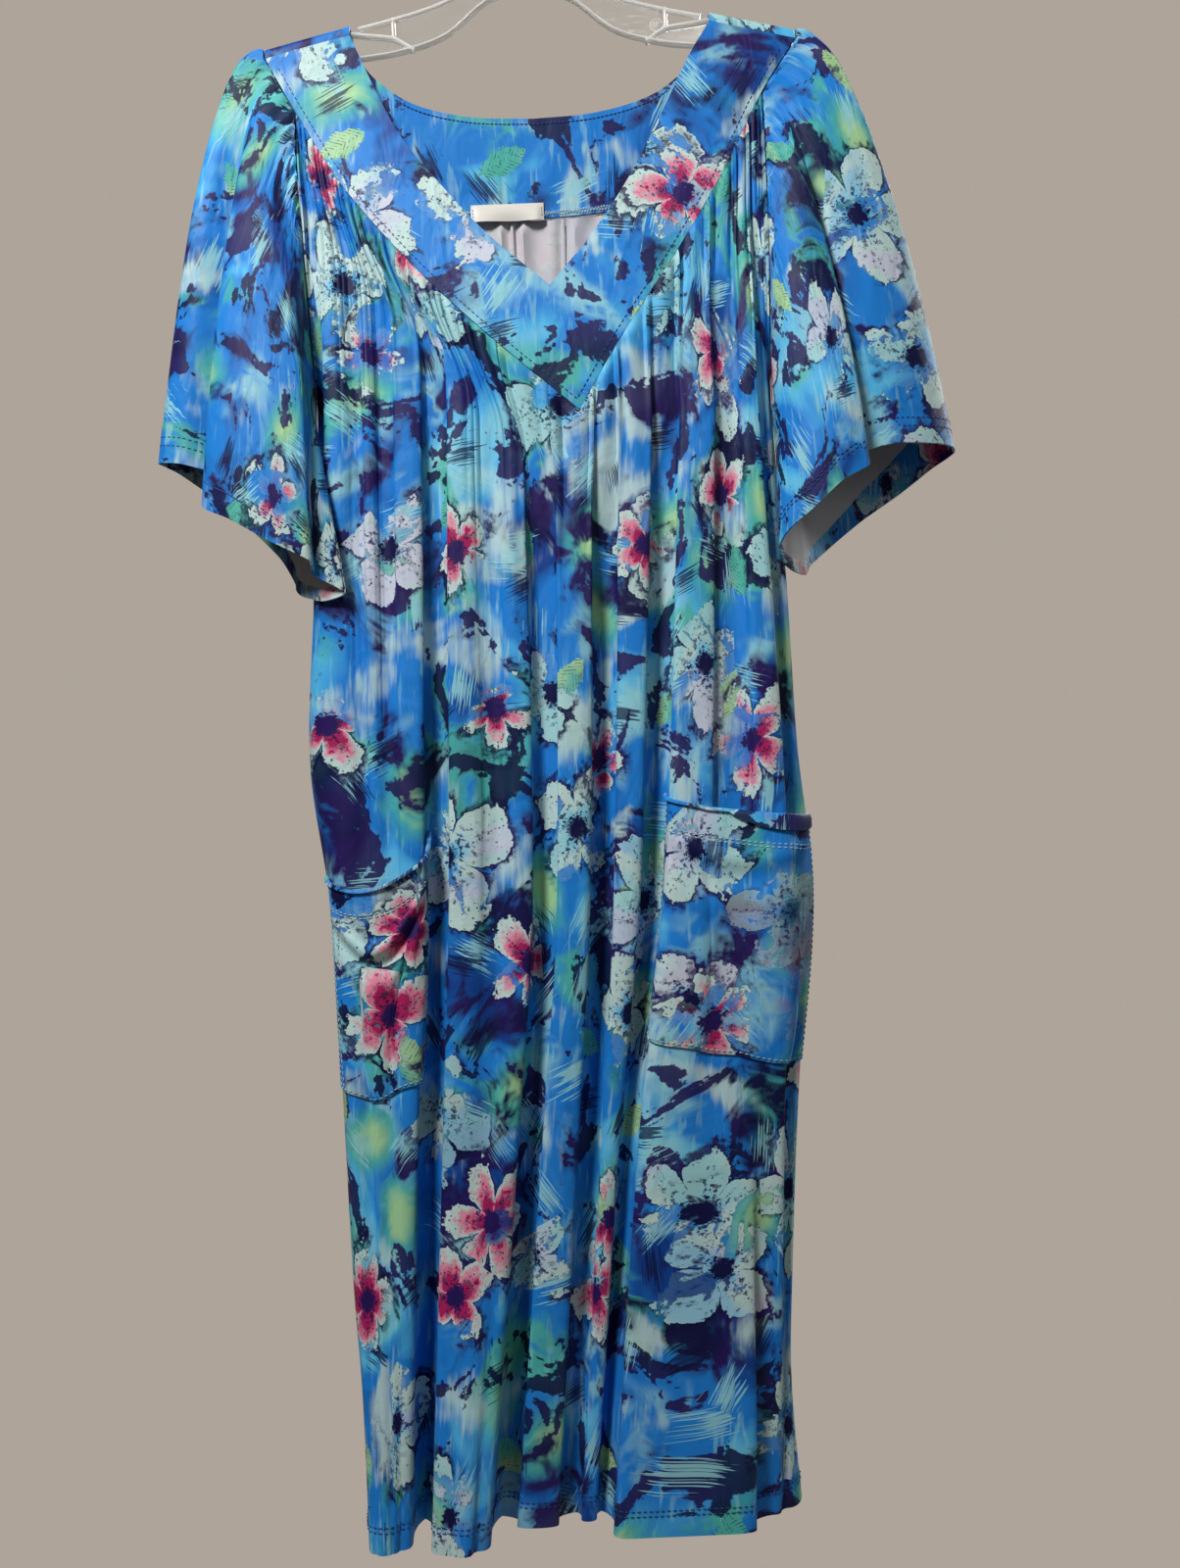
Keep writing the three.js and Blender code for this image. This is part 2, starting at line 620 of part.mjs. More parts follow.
// The arm is lofted through I-shaped sections that all have the same corners.
function hangerArm() {
  const section = (x) => {
    const sign = Math.sign(x);
    const arch = (key) => read(ARM_ARCH, "x", key, Math.abs(x));
    const bottom = arch("bottom");
    const straight = ridge(x) + ARM_CLEAR + (Math.abs(x) > ARM_END - 1 ? 3 : 0);
    const top = Math.abs(x) > NECK_HALF ? straight : arch("top");
    const rail = Math.min(RAIL_HEIGHT, (bottom - top) / 3);
    const tip = Math.abs(x) > ARM_END - 1 ? 0.45 : 1;
    const wide = RAIL * tip;
    return [
      [0, top],
      [wide * 0.7, top + wide * 0.3],
      [wide, top + wide],
      [WEB, top + rail + 1],
      [WEB, bottom - rail],
      [wide, bottom - rail + 1],
      [wide, bottom],
      [-wide, bottom],
      [-wide, bottom - rail + 1],
      [-WEB, bottom - rail],
      [-WEB, top + rail + 1],
      [-wide, top + wide],
      [-wide * 0.7, top + wide * 0.3],
    ].map(([y, down]) => new THREE.Vector3(sign === 0 ? 0 : x, y, height(down)));
  };
  const rings = [];
  for (let i = 0; i <= ARM_STATIONS; i += 1) {
    const t = (2 * i) / ARM_STATIONS - 1;
    rings.push(section(Math.sign(t) * ARM_END * Math.abs(t) ** 1.2));
  }
  const sides = rings[0].length;
  const position = rings.flat().flatMap((p) => [p.x, p.y, p.z]);
  const index = [];
  for (let i = 0; i < rings.length - 1; i += 1) {
    for (let j = 0; j < sides; j += 1) {
      const [a, b] = [i * sides + j, i * sides + ((j + 1) % sides)];
      index.push(a, b, b + sides, a, b + sides, a + sides);
    }
  }
  const outline = rings[0].map((p) => new THREE.Vector2(p.y, p.z));
  THREE.ShapeUtils.triangulateShape(outline, []).forEach(([a, b, c]) => {
    const last = (rings.length - 1) * sides;
    index.push(a, b, c, last + a, last + c, last + b);
  });
  const geometry = new THREE.BufferGeometry();
  geometry.setAttribute("position", new THREE.Float32BufferAttribute(position, 3));
  geometry.setIndex(index);
  return geometry;
}

// A round rod swept along the stem and round the hook.
function hangerHook() {
  const centre = -HOOK_RADIUS + HOOK_ROD;
  const points = [new THREE.Vector3(0, 0, height(-STEM_FOOT))];
  points.push(new THREE.Vector3(0, 0, height(-STEM_FOOT) + 8));
  const turn = 12;
  for (let i = 0; i <= turn; i += 1) {
    const angle = ((-60 + (HOOK_END_ANGLE * i) / turn) * Math.PI) / 180;
    points.push(
      new THREE.Vector3(HOOK_RADIUS * Math.cos(angle), 0, centre + HOOK_RADIUS * Math.sin(angle)),
    );
  }
  const path = new THREE.CatmullRomCurve3(points, false, "centripetal");
  const circle = new THREE.Shape(
    Array.from({ length: HOOK_SIDES }, (_, i) => {
      const angle = (2 * Math.PI * i) / HOOK_SIDES;
      return new THREE.Vector2(HOOK_ROD * Math.cos(angle), HOOK_ROD * Math.sin(angle));
    }),
  );
  return new THREE.ExtrudeGeometry(circle, { extrudePath: path, steps: 28, bevelEnabled: false });
}

// A closed geometry as a solid, turned the right way out and with its equal points joined.
function solid(geometry) {
  geometry.deleteAttribute("normal");
  geometry.deleteAttribute("uv");
  const merged = mergeVertices(geometry, 1e-4);
  const body = (triVerts) =>
    new wasm.Manifold(
      new wasm.Mesh({
        numProp: 3,
        vertProperties: new Float32Array(merged.attributes.position.array),
        triVerts: new Uint32Array(triVerts),
      }),
    );
  const made = body(merged.index.array);
  return made.volume() > 0 ? made : body(merged.index.array.slice().reverse());
}

function shown(body) {
  const mesh = body.getMesh();
  const geometry = new THREE.BufferGeometry();
  geometry.setAttribute("position", new THREE.Float32BufferAttribute(mesh.vertProperties, 3));
  geometry.setIndex(Array.from(mesh.triVerts));
  geometry.computeVertexNormals();
  return geometry;
}

const dress = new THREE.Group();
function add(name, body, color, roughness = 0.6) {
  const material = new THREE.MeshStandardMaterial({ color, roughness, metalness: 0 });
  const mesh = new THREE.Mesh(shown(body), material);
  mesh.name = name;
  dress.add(mesh);
}

add("front", solid(bodyPanel(front, FRONT_COLUMNS_PER_FOLD, FRONT_ROWS, -1)), PRINT_BLUE);
add("back", solid(bodyPanel(back, BACK_COLUMNS_PER_FOLD, BACK_ROWS, 1)), PRINT_BLUE);
add("front_yoke", solid(frontYoke()), YOKE_BLUE);
add("back_yoke", solid(backYoke()), YOKE_BLUE);
add("back_yoke_facing", solid(backFacing()), YOKE_BLUE);
add("label", solid(label()), LABEL_WHITE);
add("sleeve_left", solid(sleeve(SLEEVE_LEFT, -1)), PRINT_BLUE);
add("sleeve_right", solid(sleeve(SLEEVE_RIGHT, 1)), PRINT_BLUE);
POCKETS.forEach((shape) => add(shape.name, solid(pocket(shape)), POCKET_BLUE));
add("hanger", solid(hangerArm()).add(solid(hangerHook())), CLEAR_PLASTIC, 0.1);

export default dress;
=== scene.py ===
"""A printed knit house dress on a clear moulded hanger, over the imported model's frame.

Shapes are worked out in millimetres, as in the part's source: x to the right, "out" in front
of the hanger's plane (behind it for the back) and "down" from the shoulder at the neck.
"""

import math

import bmesh
import bpy
import numpy as np
from bpy.props import FloatProperty, FloatVectorProperty, IntProperty, PointerProperty
from bpy.types import Operator, Panel, PropertyGroup
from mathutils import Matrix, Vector


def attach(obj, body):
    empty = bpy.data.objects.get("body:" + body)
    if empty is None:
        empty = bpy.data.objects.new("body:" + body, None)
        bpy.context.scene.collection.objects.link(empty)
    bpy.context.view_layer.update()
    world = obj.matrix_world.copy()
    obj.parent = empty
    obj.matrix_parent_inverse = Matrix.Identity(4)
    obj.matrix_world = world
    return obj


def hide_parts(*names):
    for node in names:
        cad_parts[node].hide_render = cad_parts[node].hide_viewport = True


bl_info = {
    "name": "House dress",
    "version": (1, 0, 0),
    "blender": (4, 5, 0),
    "location": "3D View > Sidebar > Dress",
    "description": "A printed house dress with a V yoke, gathers and patch pockets, on a hanger",
    "category": "Add Mesh",
}

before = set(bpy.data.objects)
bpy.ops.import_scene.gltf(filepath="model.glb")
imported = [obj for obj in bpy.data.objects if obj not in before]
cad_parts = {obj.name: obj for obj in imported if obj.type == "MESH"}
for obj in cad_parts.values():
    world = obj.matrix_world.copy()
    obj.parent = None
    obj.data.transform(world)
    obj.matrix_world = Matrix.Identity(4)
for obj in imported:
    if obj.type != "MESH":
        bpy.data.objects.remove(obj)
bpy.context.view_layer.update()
MM = 0.001


def table(names, *rows):
    """Rows of numbers with named columns."""
    return [dict(zip(names.split(), row)) for row in rows]


# Sizes and sections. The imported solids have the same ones, with fewer and softer gathers.
SEAT_TO_SHOULDER = 122  # from the hook's seat down to the shoulder at the neck
DRESS_LENGTH = 1100
CLOTH = 1.2  # wall of one panel
SEAM_GAP = 0.4  # between the edges of two pieces
NECK_HALF = 133  # half the neck opening, along the hanger
SHOULDER_END = 196  # where the yoke ends and the sleeve head begins
SHOULDER_SLOPE = 0.24
ROLL = 4.5  # radius of the cloth over the hanger's rail
SEAM_FORWARD = 8  # the shoulder seam lies this far down the front
UNDERARM = 290
YOKE_BULGE, YOKE_BULGE_DOWN = 25, 290  # how far the point of the yoke hangs forward
BACK_BULGE, BACK_BULGE_DOWN = 16, 170
# The body seen from the front: half widths below the armhole.
BODY_SIDES = table(
    "down left right",
    (60, 173, 168),
    (200, 169, 168),
    (290, 168, 168),
    (430, 176, 174),
    (545, 183, 177),
    (655, 171, 185),
    (780, 167, 170),
    (930, 163, 158),
    (1000, 158, 154),
    (1108, 156, 159),
)
# The yokes, from each shoulder (share 0) to the middle (share 1).
FRONT_YOKE_LEFT = table(
    "share inX inDown outX outDown",
    (0, -133, 8, -196, 23),
    (0.2, -117, 46, -174, 65),
    (0.4, -98, 86, -141, 123),
    (0.6, -71, 123, -98, 178),
    (0.8, -35, 166, -45, 234),
    (1, 8, 206, 26, 298),
)
FRONT_YOKE_RIGHT = table(
    "share inX inDown outX outDown",
    (0, 133, 8, 196, 23),
    (0.2, 117, 33, 169, 63),
    (0.4, 95, 76, 135, 128),
    (0.6, 69, 125, 98, 188),
    (0.8, 39, 169, 58, 246),
    (1, 8, 206, 26, 298),
)
SLEEVE_TOP_SHARE = 0.2  # the sleeve is sewn to the yoke above this
BACK_YOKE = table(
    "share inX inDown outX outDown",
    (0, 133, 0, 196, 15),
    (0.2, 129, 18, 188, 58),
    (0.4, 116, 36, 178, 106),
    (0.6, 90, 54, 121, 124),
    (0.8, 48, 65, 61, 135),
    (1, 0, 68, 0, 139),
)
BACK_CORNER_SHARE = 0.4  # the armhole edge of the back yoke ends here
BACK_YOKE_LEFT = [{**row, "inX": -row["inX"], "outX": -row["outX"]} for row in BACK_YOKE]
FOLD_DOWNS = (300, 650, 820, 1100)
# Crests and valleys: x at the four levels, then the distance from the hanger's plane.
FRONT_FOLDS = (
    (-151, -155, -153, -149, 20, 27, 38, 55),
    (-136, -141, -142, -142, 15, 25, 36, 58),
    (-127, -134, -138, -139, 24, 30, 39, 58),
    (-118, -124, -131, -135, 18, 28, 39, 56),
    (-99, -108, -119, -130, 28, 36, 41, 52),
    (-79, -92, -102, -118, 16, 15, 14, 14),
    (-60, -68, -79, -97, 29, 38, 46, 60),
    (-42, -47, -59, -85, 23, 32, 43, 64),
    (-24, -30, -46, -75, 29, 38, 45, 57),
    (-6, -14, -31, -62, 20, 20, 17, 14),
    (23, 9, -8, -35, 30, 38, 36, 32),
    (45, 29, 16, -8, 15, 14, 13, 13),
    (66, 47, 29, 2, 30, 37, 32, 26),
    (89, 63, 39, 11, 15, 14, 13, 13),
    (110, 86, 60, 30, 29, 39, 43, 48),
    (137, 127, 118, 104, 17, 28, 38, 48),
    (150, 152, 144, 134, 27, 36, 34, 26),
    (161, 172, 160, 147, 15, 16, 17, 18),
)
V_FOLD = 10  # the crest that hangs from the point of the yoke
BACK_FOLDS = (
    (-140, -146, -142, -136, 20, 30, 35, 42),
    (-106, -112, -112, -110, 14, 14, 14, 14),
    (-72, -78, -81, -84, 23, 34, 38, 46),
    (-36, -42, -46, -52, 15, 15, 15, 15),
    (0, -6, -11, -18, 24, 35, 40, 48),
    (36, 33, 28, 20, 15, 16, 16, 15),
    (72, 72, 66, 56, 23, 33, 38, 46),
    (108, 110, 104, 94, 14, 15, 15, 14),
    (140, 146, 141, 132, 20, 30, 34, 40),
)
FOLD_SQUARENESS = 0.22
FOLD_FULLNESS = 0.7  # below 1, crests are broad and valleys narrow
SHARP_FOLD = 16  # a fold this deep or deeper is as square as they get
GATHERS_PER_FOLD = 3
GATHER_DEPTH = 3.0
GATHER_FADE = 90  # gathers melt into the folds this far below the yoke
FOLD_START = 190  # folds reach their depth this far below the yoke
# Hem of each sleeve as seen from below, from the outer edge round the front to the inner
# corner and back. "head" is where the fold starts on the armhole: 0 shoulder, 1 underarm.
SLEEVE_LEFT = table(
    "x y down head",
    (-287, 0, 318, 0),
    (-280, -10, 320, 0.02),
    (-264, -16, 323, 0.05),
    (-236, -11, 333, 0.09),
    (-246, -35, 358, 0.13),
    (-224, -46, 371, 0.2),
    (-196, -49, 388, 0.31),
    (-170, -46, 402, 0.46),
    (-172, -36, 412, 0.7),
    (-155, -33, 424, 1),
    (-172, -25, 428, 0.96),
    (-187, -9, 422, 0.88),
    (-191, 11, 410, 0.74),
    (-205, 26, 388, 0.56),
    (-230, 32, 362, 0.36),
    (-256, 26, 338, 0.19),
    (-276, 15, 323, 0.06),
    (-284, 8, 319, 0.02),
)
SLEEVE_RIGHT = table(
    "x y down head",
    (304, 4, 331, 0),
    (298, -9, 330, 0.02),
    (282, -21, 330, 0.05),
    (254, -30, 331, 0.09),
    (232, -32, 336, 0.13),
    (224, -30, 343, 0.18),
    (229, -46, 350, 0.26),
    (208, -50, 362, 0.42),
    (190, -42, 384, 0.68),
    (180, -27, 402, 1),
    (187, -12, 416, 0.96),
    (190, 5, 418, 0.88),
    (197, 22, 408, 0.74),
    (216, 38, 392, 0.56),
    (242, 42, 372, 0.36),
    (270, 36, 354, 0.19),
    (291, 22, 339, 0.06),
    (300, 13, 334, 0.02),
)
SLEEVE_SHOULDER_REACH = 32  # cloth runs this far past the yoke before it falls
SLEEVE_SEAM = (1.1, 1.7)  # between the middles of the walls, at shoulder and underarm
GATHERED_HEAD = (0.02, 0.62)  # the gathered share of the armhole
SLEEVE_DRAWN_IN = {-1: 6, 1: 12}  # the inner front of a hem lies this far over the body
# Pockets: the fold lines they reach between, their mouths and bottom seams, and how far
# the mouth gapes. A lean above 1 moves the gape to the right.
POCKETS = table(
    "name first last mouthA mouthB mouthC bottomA bottomB bottomC sag lean",
    ("pocket_left", 0.5, 5.75, 628, 636, 598, 779, 788, 771, 14, 0.85),
    ("pocket_right", 14.25, 18.5, 578, 593, 597, 746, 768, 775, 14, 1.9),
)
POCKET_LIFT = 1.8  # from the front's middle surface to the pocket's
LABEL_LEFT, LABEL_RIGHT, LABEL_TOP, LABEL_BOTTOM, LABEL_THICK = -50, 5, 128, 141, 0.5
FACING_HALF, FACING_LIFT, FACING_THICK = 116, 1.45, 1.0
ARM_ARCH = table(
    "x top bottom",
    (0, -58, -22),
    (14, -54, -21),
    (34, -34, -12),
    (62, -18, 10),
    (96, -7.5, 21),
    (133, 0.95, 26),
    (170, 9.8, 33),
    (196, 16.1, 37),
    (203, 17.7, 33),
)
HOOK_RADIUS, HOOK_ROD, HOOK_ARC = 21, 3.2, 215
STEM_FOOT = 50
STRAP_POST = 101  # upright between the rails, at the strap notch
HALF_WEB = 0.8  # half the thin plate between the rails

# Sewing: rows of stitches up from a hem, and how far they stand off a panel's middle.
HEM_ROWS = (15, 18.5)
STITCH_LIFT = 0.62

# Where each piece is cut from the printed cloth: across and down.
CUT_FROM = {
    "dress_front": (0, 40),
    "dress_back": (1900, 700),
    "v_yoke": (3650, 740),
    "back_yoke_outer": (1500, 260),
    "neck_facing": (4418, 174),
    "sleeve_left": (200, 980),
    "sleeve_right": (4400, 620),
    "pocket_left": (1910, -205),
    "pocket_right": (760, 330),
}


# Curves and small helpers.
def lerp(a, b, t):
    return a + (b - a) * t


def smooth(v):
    t = np.clip(v, 0, 1)
    return t * t * (3 - 2 * t)


def height(down):
    return -SEAT_TO_SHOULDER - down


def read(rows, by, key, at):
    """A smooth curve through a table's rows, read at values of one of its columns."""
    xs = np.array([row[by] for row in rows], float)
    ys = np.array([row[key] for row in rows], float)
    if xs[0] > xs[-1]:
        xs, ys = xs[::-1], ys[::-1]
    at = np.asarray(at, float)
    last = len(xs) - 1
    before = np.maximum(np.arange(last + 1) - 1, 0)
    after = np.minimum(np.arange(last + 1) + 1, last)
    slopes = (ys[after] - ys[before]) / (xs[after] - xs[before])
    i = np.clip(np.searchsorted(xs, at, side="left") - 1, 0, last - 1)
    span = xs[i + 1] - xs[i]
    t = np.clip((at - xs[i]) / span, 0, 1)
    t2, t3 = t * t, t * t * t
    return (
        (2 * t3 - 3 * t2 + 1) * ys[i]
        + (t3 - 2 * t2 + t) * span * slopes[i]
        + (3 * t2 - 2 * t3) * ys[i + 1]
        + (t3 - t2) * span * slopes[i + 1]
    )


def ripple(u, v, seed, waves=7):
    """A soft random surface from -1 to 1, made of a few crossing waves."""
    rng = np.random.RandomState(seed)
    total = np.zeros(np.broadcast(u, v).shape)
    for _ in range(waves):
        angle, length, phase = rng.rand(3) * (math.pi, 1, 2 * math.pi)
        k = 1 + length
        total += np.sin(k * (u * math.cos(angle) + v * math.sin(angle)) + phase)
    return total / waves**0.5 / 1.6


def ridge(x):
    """How far the shoulder has sloped down."""
    return np.maximum(0, np.abs(x) - NECK_HALF) * SHOULDER_SLOPE


def roll(below):
    """Cloth rolling over the hanger's rail: how far out it is."""
    return np.where(
        below >= ROLL, ROLL, np.sqrt(np.maximum(0, ROLL**2 - (ROLL - np.maximum(below, 0)) ** 2))
    )


def yoke_front(x, down):
    return -roll(down - ridge(x)) - YOKE_BULGE * smooth((down - ridge(x)) / YOKE_BULGE_DOWN)


def yoke_back(x, down):
    return roll(down - ridge(x)) + BACK_BULGE * smooth((down - ridge(x)) / BACK_BULGE_DOWN)


class BodyPanel:
    """One panel of the body: its fold lines, its side of the hanger and its top seam."""

    def __init__(self, folds, facing, yoke, middle, left, right, start, armhole, seed):
        self.folds, self.facing, self.yoke = folds, facing, yoke
        self.middle, self.left, self.right, self.start = middle, left, right, start
        self.armhole, self.seed = armhole, seed
        self.lines = len(folds) + 1

    def side(self, sign, down):
        """Where the side edge of the body is."""
        key = "left" if sign < 0 else "right"
        return sign * read(BODY_SIDES, "down", key, np.maximum(60, down))

    def edge_out(self, down):
        """How far the side edge is from the hanger's plane: the armhole gapes above the seam."""
        corner, out, gape = self.armhole
        t = np.clip((down - corner) / (UNDERARM - corner), 0, 1)
        return SEAM_GAP / 2 + lerp(out, 0, smooth(t)) + gape * np.sin(math.pi * t)

    def fold_lines(self, down):
        """Every crest and valley, and both edges: how far across and how far out."""
        xs, outs = [], []
        levels = np.array(FOLD_DOWNS, float)
        for k in range(self.lines + 1):
            if k in (0, self.lines):
                xs.append(self.side(-1 if k == 0 else 1, down))
                outs.append(self.edge_out(down))
                continue
            fold = self.folds[k - 1]
            sign = -1 if fold[0] < 0 else 1
            rows = [
                {"at": at, "x": fold[i], "out": fold[i + len(levels)]}
                for i, at in enumerate(levels)
            ]
            widening = self.side(sign, down) / self.side(sign, levels[0])
            xs.append(read(rows, "at", "x", down) * np.where(down < levels[0], widening, 1))
            outs.append(read(rows, "at", "out", down))
        return np.array(xs), np.array(outs)

    def hanging(self, column, down):
        """The cloth in its full folds. Columns count fold lines: 2.5 is halfway to the third."""
        column, down = np.broadcast_arrays(np.asarray(column, float), np.asarray(down, float))
        k = np.minimum(self.lines - 1, np.floor(column)).astype(int)
        s = column - k
        xs, outs = self.fold_lines(down)

        def pick(values, index):
            return np.take_along_axis(values, index[None], 0)[0]

        ax, bx, ao, bo = pick(xs, k), pick(xs, k + 1), pick(outs, k), pick(outs, k + 1)
        sharp = np.clip(np.abs(bo - ao) / SHARP_FOLD, 0, 1)
        fold_x = lerp(ax, bx, s + FOLD_SQUARENESS * sharp * np.sin(2 * math.pi * s))
        fullness = lerp(1, FOLD_FULLNESS, sharp)
        rising = np.where(bo > ao, s, 1 - s) ** fullness
        risen = (1 - np.cos(math.pi * rising)) / 2
        fold_out = lerp(np.minimum(ao, bo), np.maximum(ao, bo), risen)
        first, last = k == 0, k == self.lines - 1
        quarter = np.where(first, s, 1 - s) * math.pi / 2
        ex, ix = np.where(first, ax, bx), np.where(first, bx, ax)
        eo, io = np.where(first, ao, bo), np.where(first, bo, ao)
        turned_x = lerp(ex, ix, 1 - np.cos(quarter))
        turned_out = lerp(eo, io, np.sin(quarter))
        outer = (first | last) * smooth((down - UNDERARM) / 80)
        return lerp(fold_x, turned_x, outer), lerp(fold_out, turned_out, outer)

    def seam(self, column):
        """The top edge, sewn along the yoke and round the armhole."""
        column = np.asarray(column, float)
        top = np.full(column.shape, float(FOLD_DOWNS[0]))
        x = self.hanging(column, top)[0]
        middle = self.fold_lines(np.array(float(FOLD_DOWNS[0])))[0][self.middle]
        results = []
        for key, gap in (("outX", 0), ("outDown", 2 * SEAM_GAP)):
            sides = []
            for sign, rows in ((-1, self.left), (1, self.right)):
                near = self.side(sign, float(FOLD_DOWNS[0]))
                share = np.clip((x - near) / (middle - near), 0, 1)
                share = np.where((column <= 0) | (column >= self.lines), 0, share)
                sides.append(read(rows, "share", key, lerp(self.start, 1, share)) + gap)
            results.append(np.where(x <= middle, *sides))
        return results

    def point(self, column, down):
        """A point of the cloth: gathered at the seam, melting into the folds below."""
        column, down = np.broadcast_arrays(np.asarray(column, float), np.asarray(down, float))
        seam_x, seam_down = self.seam(column)
        below = np.maximum(0, down - seam_down)
        x, out = self.hanging(column, down)
        formed = smooth(below / FOLD_START)
        number = column * GATHERS_PER_FOLD
        gathers = 2 * np.abs(np.cos(math.pi * number)) ** 0.8 - 1
        uneven = 1 + 0.35 * np.sin(number * 2.4 + self.seed) * np.sin(number * 1.1 + 1)
        depth = lerp(self.yoke(seam_x, seam_down) * self.facing, out, formed)
        depth = depth + uneven * GATHER_DEPTH * gathers * smooth(below / 7) * np.exp(
            -below / (GATHER_FADE * uneven)
        )
        depth = depth - 0.3 * gathers * (below < 400)
        hang = smooth((down - 200) / 200) * np.minimum(1, np.minimum(column, self.lines - column))
        depth = depth + hang * 0.9 * ripple(column * 2.3, down / 70, self.seed)
        edge = (column <= 0) | (column >= self.lines)
        depth = np.where(edge, out, depth)
        x = lerp(seam_x, x, smooth(below / GATHER_FADE))
        return np.stack([x, self.facing * depth, height(down)], -1)


front = BodyPanel(
    FRONT_FOLDS,
    -1,
    yoke_front,
    V_FOLD + 1,
    FRONT_YOKE_LEFT,
    FRONT_YOKE_RIGHT,
    SLEEVE_TOP_SHARE,
    (65, 6, 14),
    3,
)
back = BodyPanel(
    BACK_FOLDS, 1, yoke_back, 5, BACK_YOKE_LEFT, BACK_YOKE, BACK_CORNER_SHARE, (106, 14, 6), 8
)


def armhole_points(sign, head, at_back):
    """Where the sleeve is sewn on: head 0 is the shoulder and 1 the underarm."""
    body = back if at_back else front
    column = 0 if sign < 0 else body.lines
    corner = body.seam(np.array(float(column)))[1]
    shoulder = float(ridge(SHOULDER_END))
    down = lerp(shoulder, UNDERARM + 1, head)
    seam = lerp(SLEEVE_SEAM[0], SLEEVE_SEAM[1], smooth(head * 3))
    edge = body.point(column, down)
    rows = BACK_YOKE if at_back else FRONT_YOKE_LEFT if sign < 0 else FRONT_YOKE_RIGHT
    x = np.abs(read(rows, "outDown", "outX", np.maximum(down, rows[0]["outDown"])))
    wider = 1 + 0.35 * (1 - smooth((down - shoulder) / 30))
    y = (yoke_back if at_back else yoke_front)(SHOULDER_END, down) * wider
    low = down > corner
    return np.stack(
        [
            np.where(low, edge[..., 0] + sign * seam, sign * (x + seam)),
            np.where(low, edge[..., 1], y),
            height(down),
        ],
        -1,
    )


def around(rows, key, column):
    """A closed curve through a table's rows, by row number."""
    values = np.array([row[key] for row in rows], float)
    n = len(values)
    k = np.floor(column).astype(int)
    t = column - k
    a, b, c, d = (values[(k + j) % n] for j in (-1, 0, 1, 2))
    m1, m2 = (c - a) * 0.35, (d - b) * 0.35
    t2, t3 = t * t, t * t * t
    return (
        (2 * t3 - 3 * t2 + 1) * b
        + (t3 - 2 * t2 + t) * m1
        + (3 * t2 - 2 * t3) * c
        + (t3 - t2) * m2
    )


def sleeve_points(rows, sign, column, t):
    """Points of a sleeve: t is 0 on the armhole and 1 on the hem."""
    column, t = np.broadcast_arrays(column, t)
    hem_x, hem_y = around(rows, "x", column), around(rows, "y", column)
    hem = np.stack([hem_x, hem_y, height(around(rows, "down", column))], -1)
    k = np.floor(column).astype(int) % len(rows)
    s = column - np.floor(column)
    heads = np.array([row["head"] for row in rows])
    head = lerp(heads[k], heads[(k + 1) % len(rows)], s)
    inner = int(np.argmax(heads))
    start = np.where(
        (k >= inner)[..., None],
        armhole_points(sign, head, True),
        armhole_points(sign, head, False),
    )
    top = 1 - smooth(head / 0.6)
    out, above = start.copy(), hem.copy()
    out[..., 0] += sign * lerp(4, SLEEVE_SHOULDER_REACH, top)
    out[..., 1] = lerp(lerp(start[..., 1], hem[..., 1], 0.5), start[..., 1], top)
    out[..., 2] -= lerp(30, -3, top)
    above[..., 0] = lerp(hem[..., 0], start[..., 0], lerp(0.1, 0.33, top))
    above[..., 2] = lerp(hem[..., 2], start[..., 2], lerp(0.4, 0.68, top))
    w = t[..., None]
    points = (
        start * (1 - w) ** 3
        + 3 * out * w * (1 - w) ** 2
        + 3 * above * w * w * (1 - w)
        + hem * w**3
    )
    first, last = GATHERED_HEAD
    sewn = np.clip(8 * np.minimum(head - first, last - head), 0, 1)
    gathers = np.cos(2 * math.pi * head * 22 + 0.8 * np.sin(head * 31))
    fade = smooth(t / 0.03) * np.exp(-t / 0.11)
    points[..., 1] += np.sign(points[..., 1]) * 2.1 * gathers * fade * sewn
    crease = ripple(column * 0.9 + t * 4, t * 9 - column * 0.35, 21 if sign < 0 else 34)
    points[..., 1] += 2.2 * crease * smooth(t / 0.3)
    inner_front = smooth((head - 0.4) / 0.5) * np.clip((4 - hem_y) / 20, 0, 1)
    drawn = 1.4 * smooth(t / 0.14) + SLEEVE_DRAWN_IN[sign] * t * smooth(t / 0.2)
    points[..., 0] -= sign * drawn * inner_front
    return points


def band_points(left, right, yoke, share, across):
    """Points of a yoke: share runs 0 to 1 down the left half and 1 to 2 up the right one."""
    share, across = np.broadcast_arrays(share, across)
    half = np.where(share <= 1, share, 2 - share)

    def column(key):
        return np.where(
            share <= 1, read(left, "share", key, half), read(right, "share", key, half)
        )

    x = lerp(column("inX"), column("outX"), across)
    down = lerp(column("inDown"), column("outDown"), across)
    return x, yoke(x, down), down


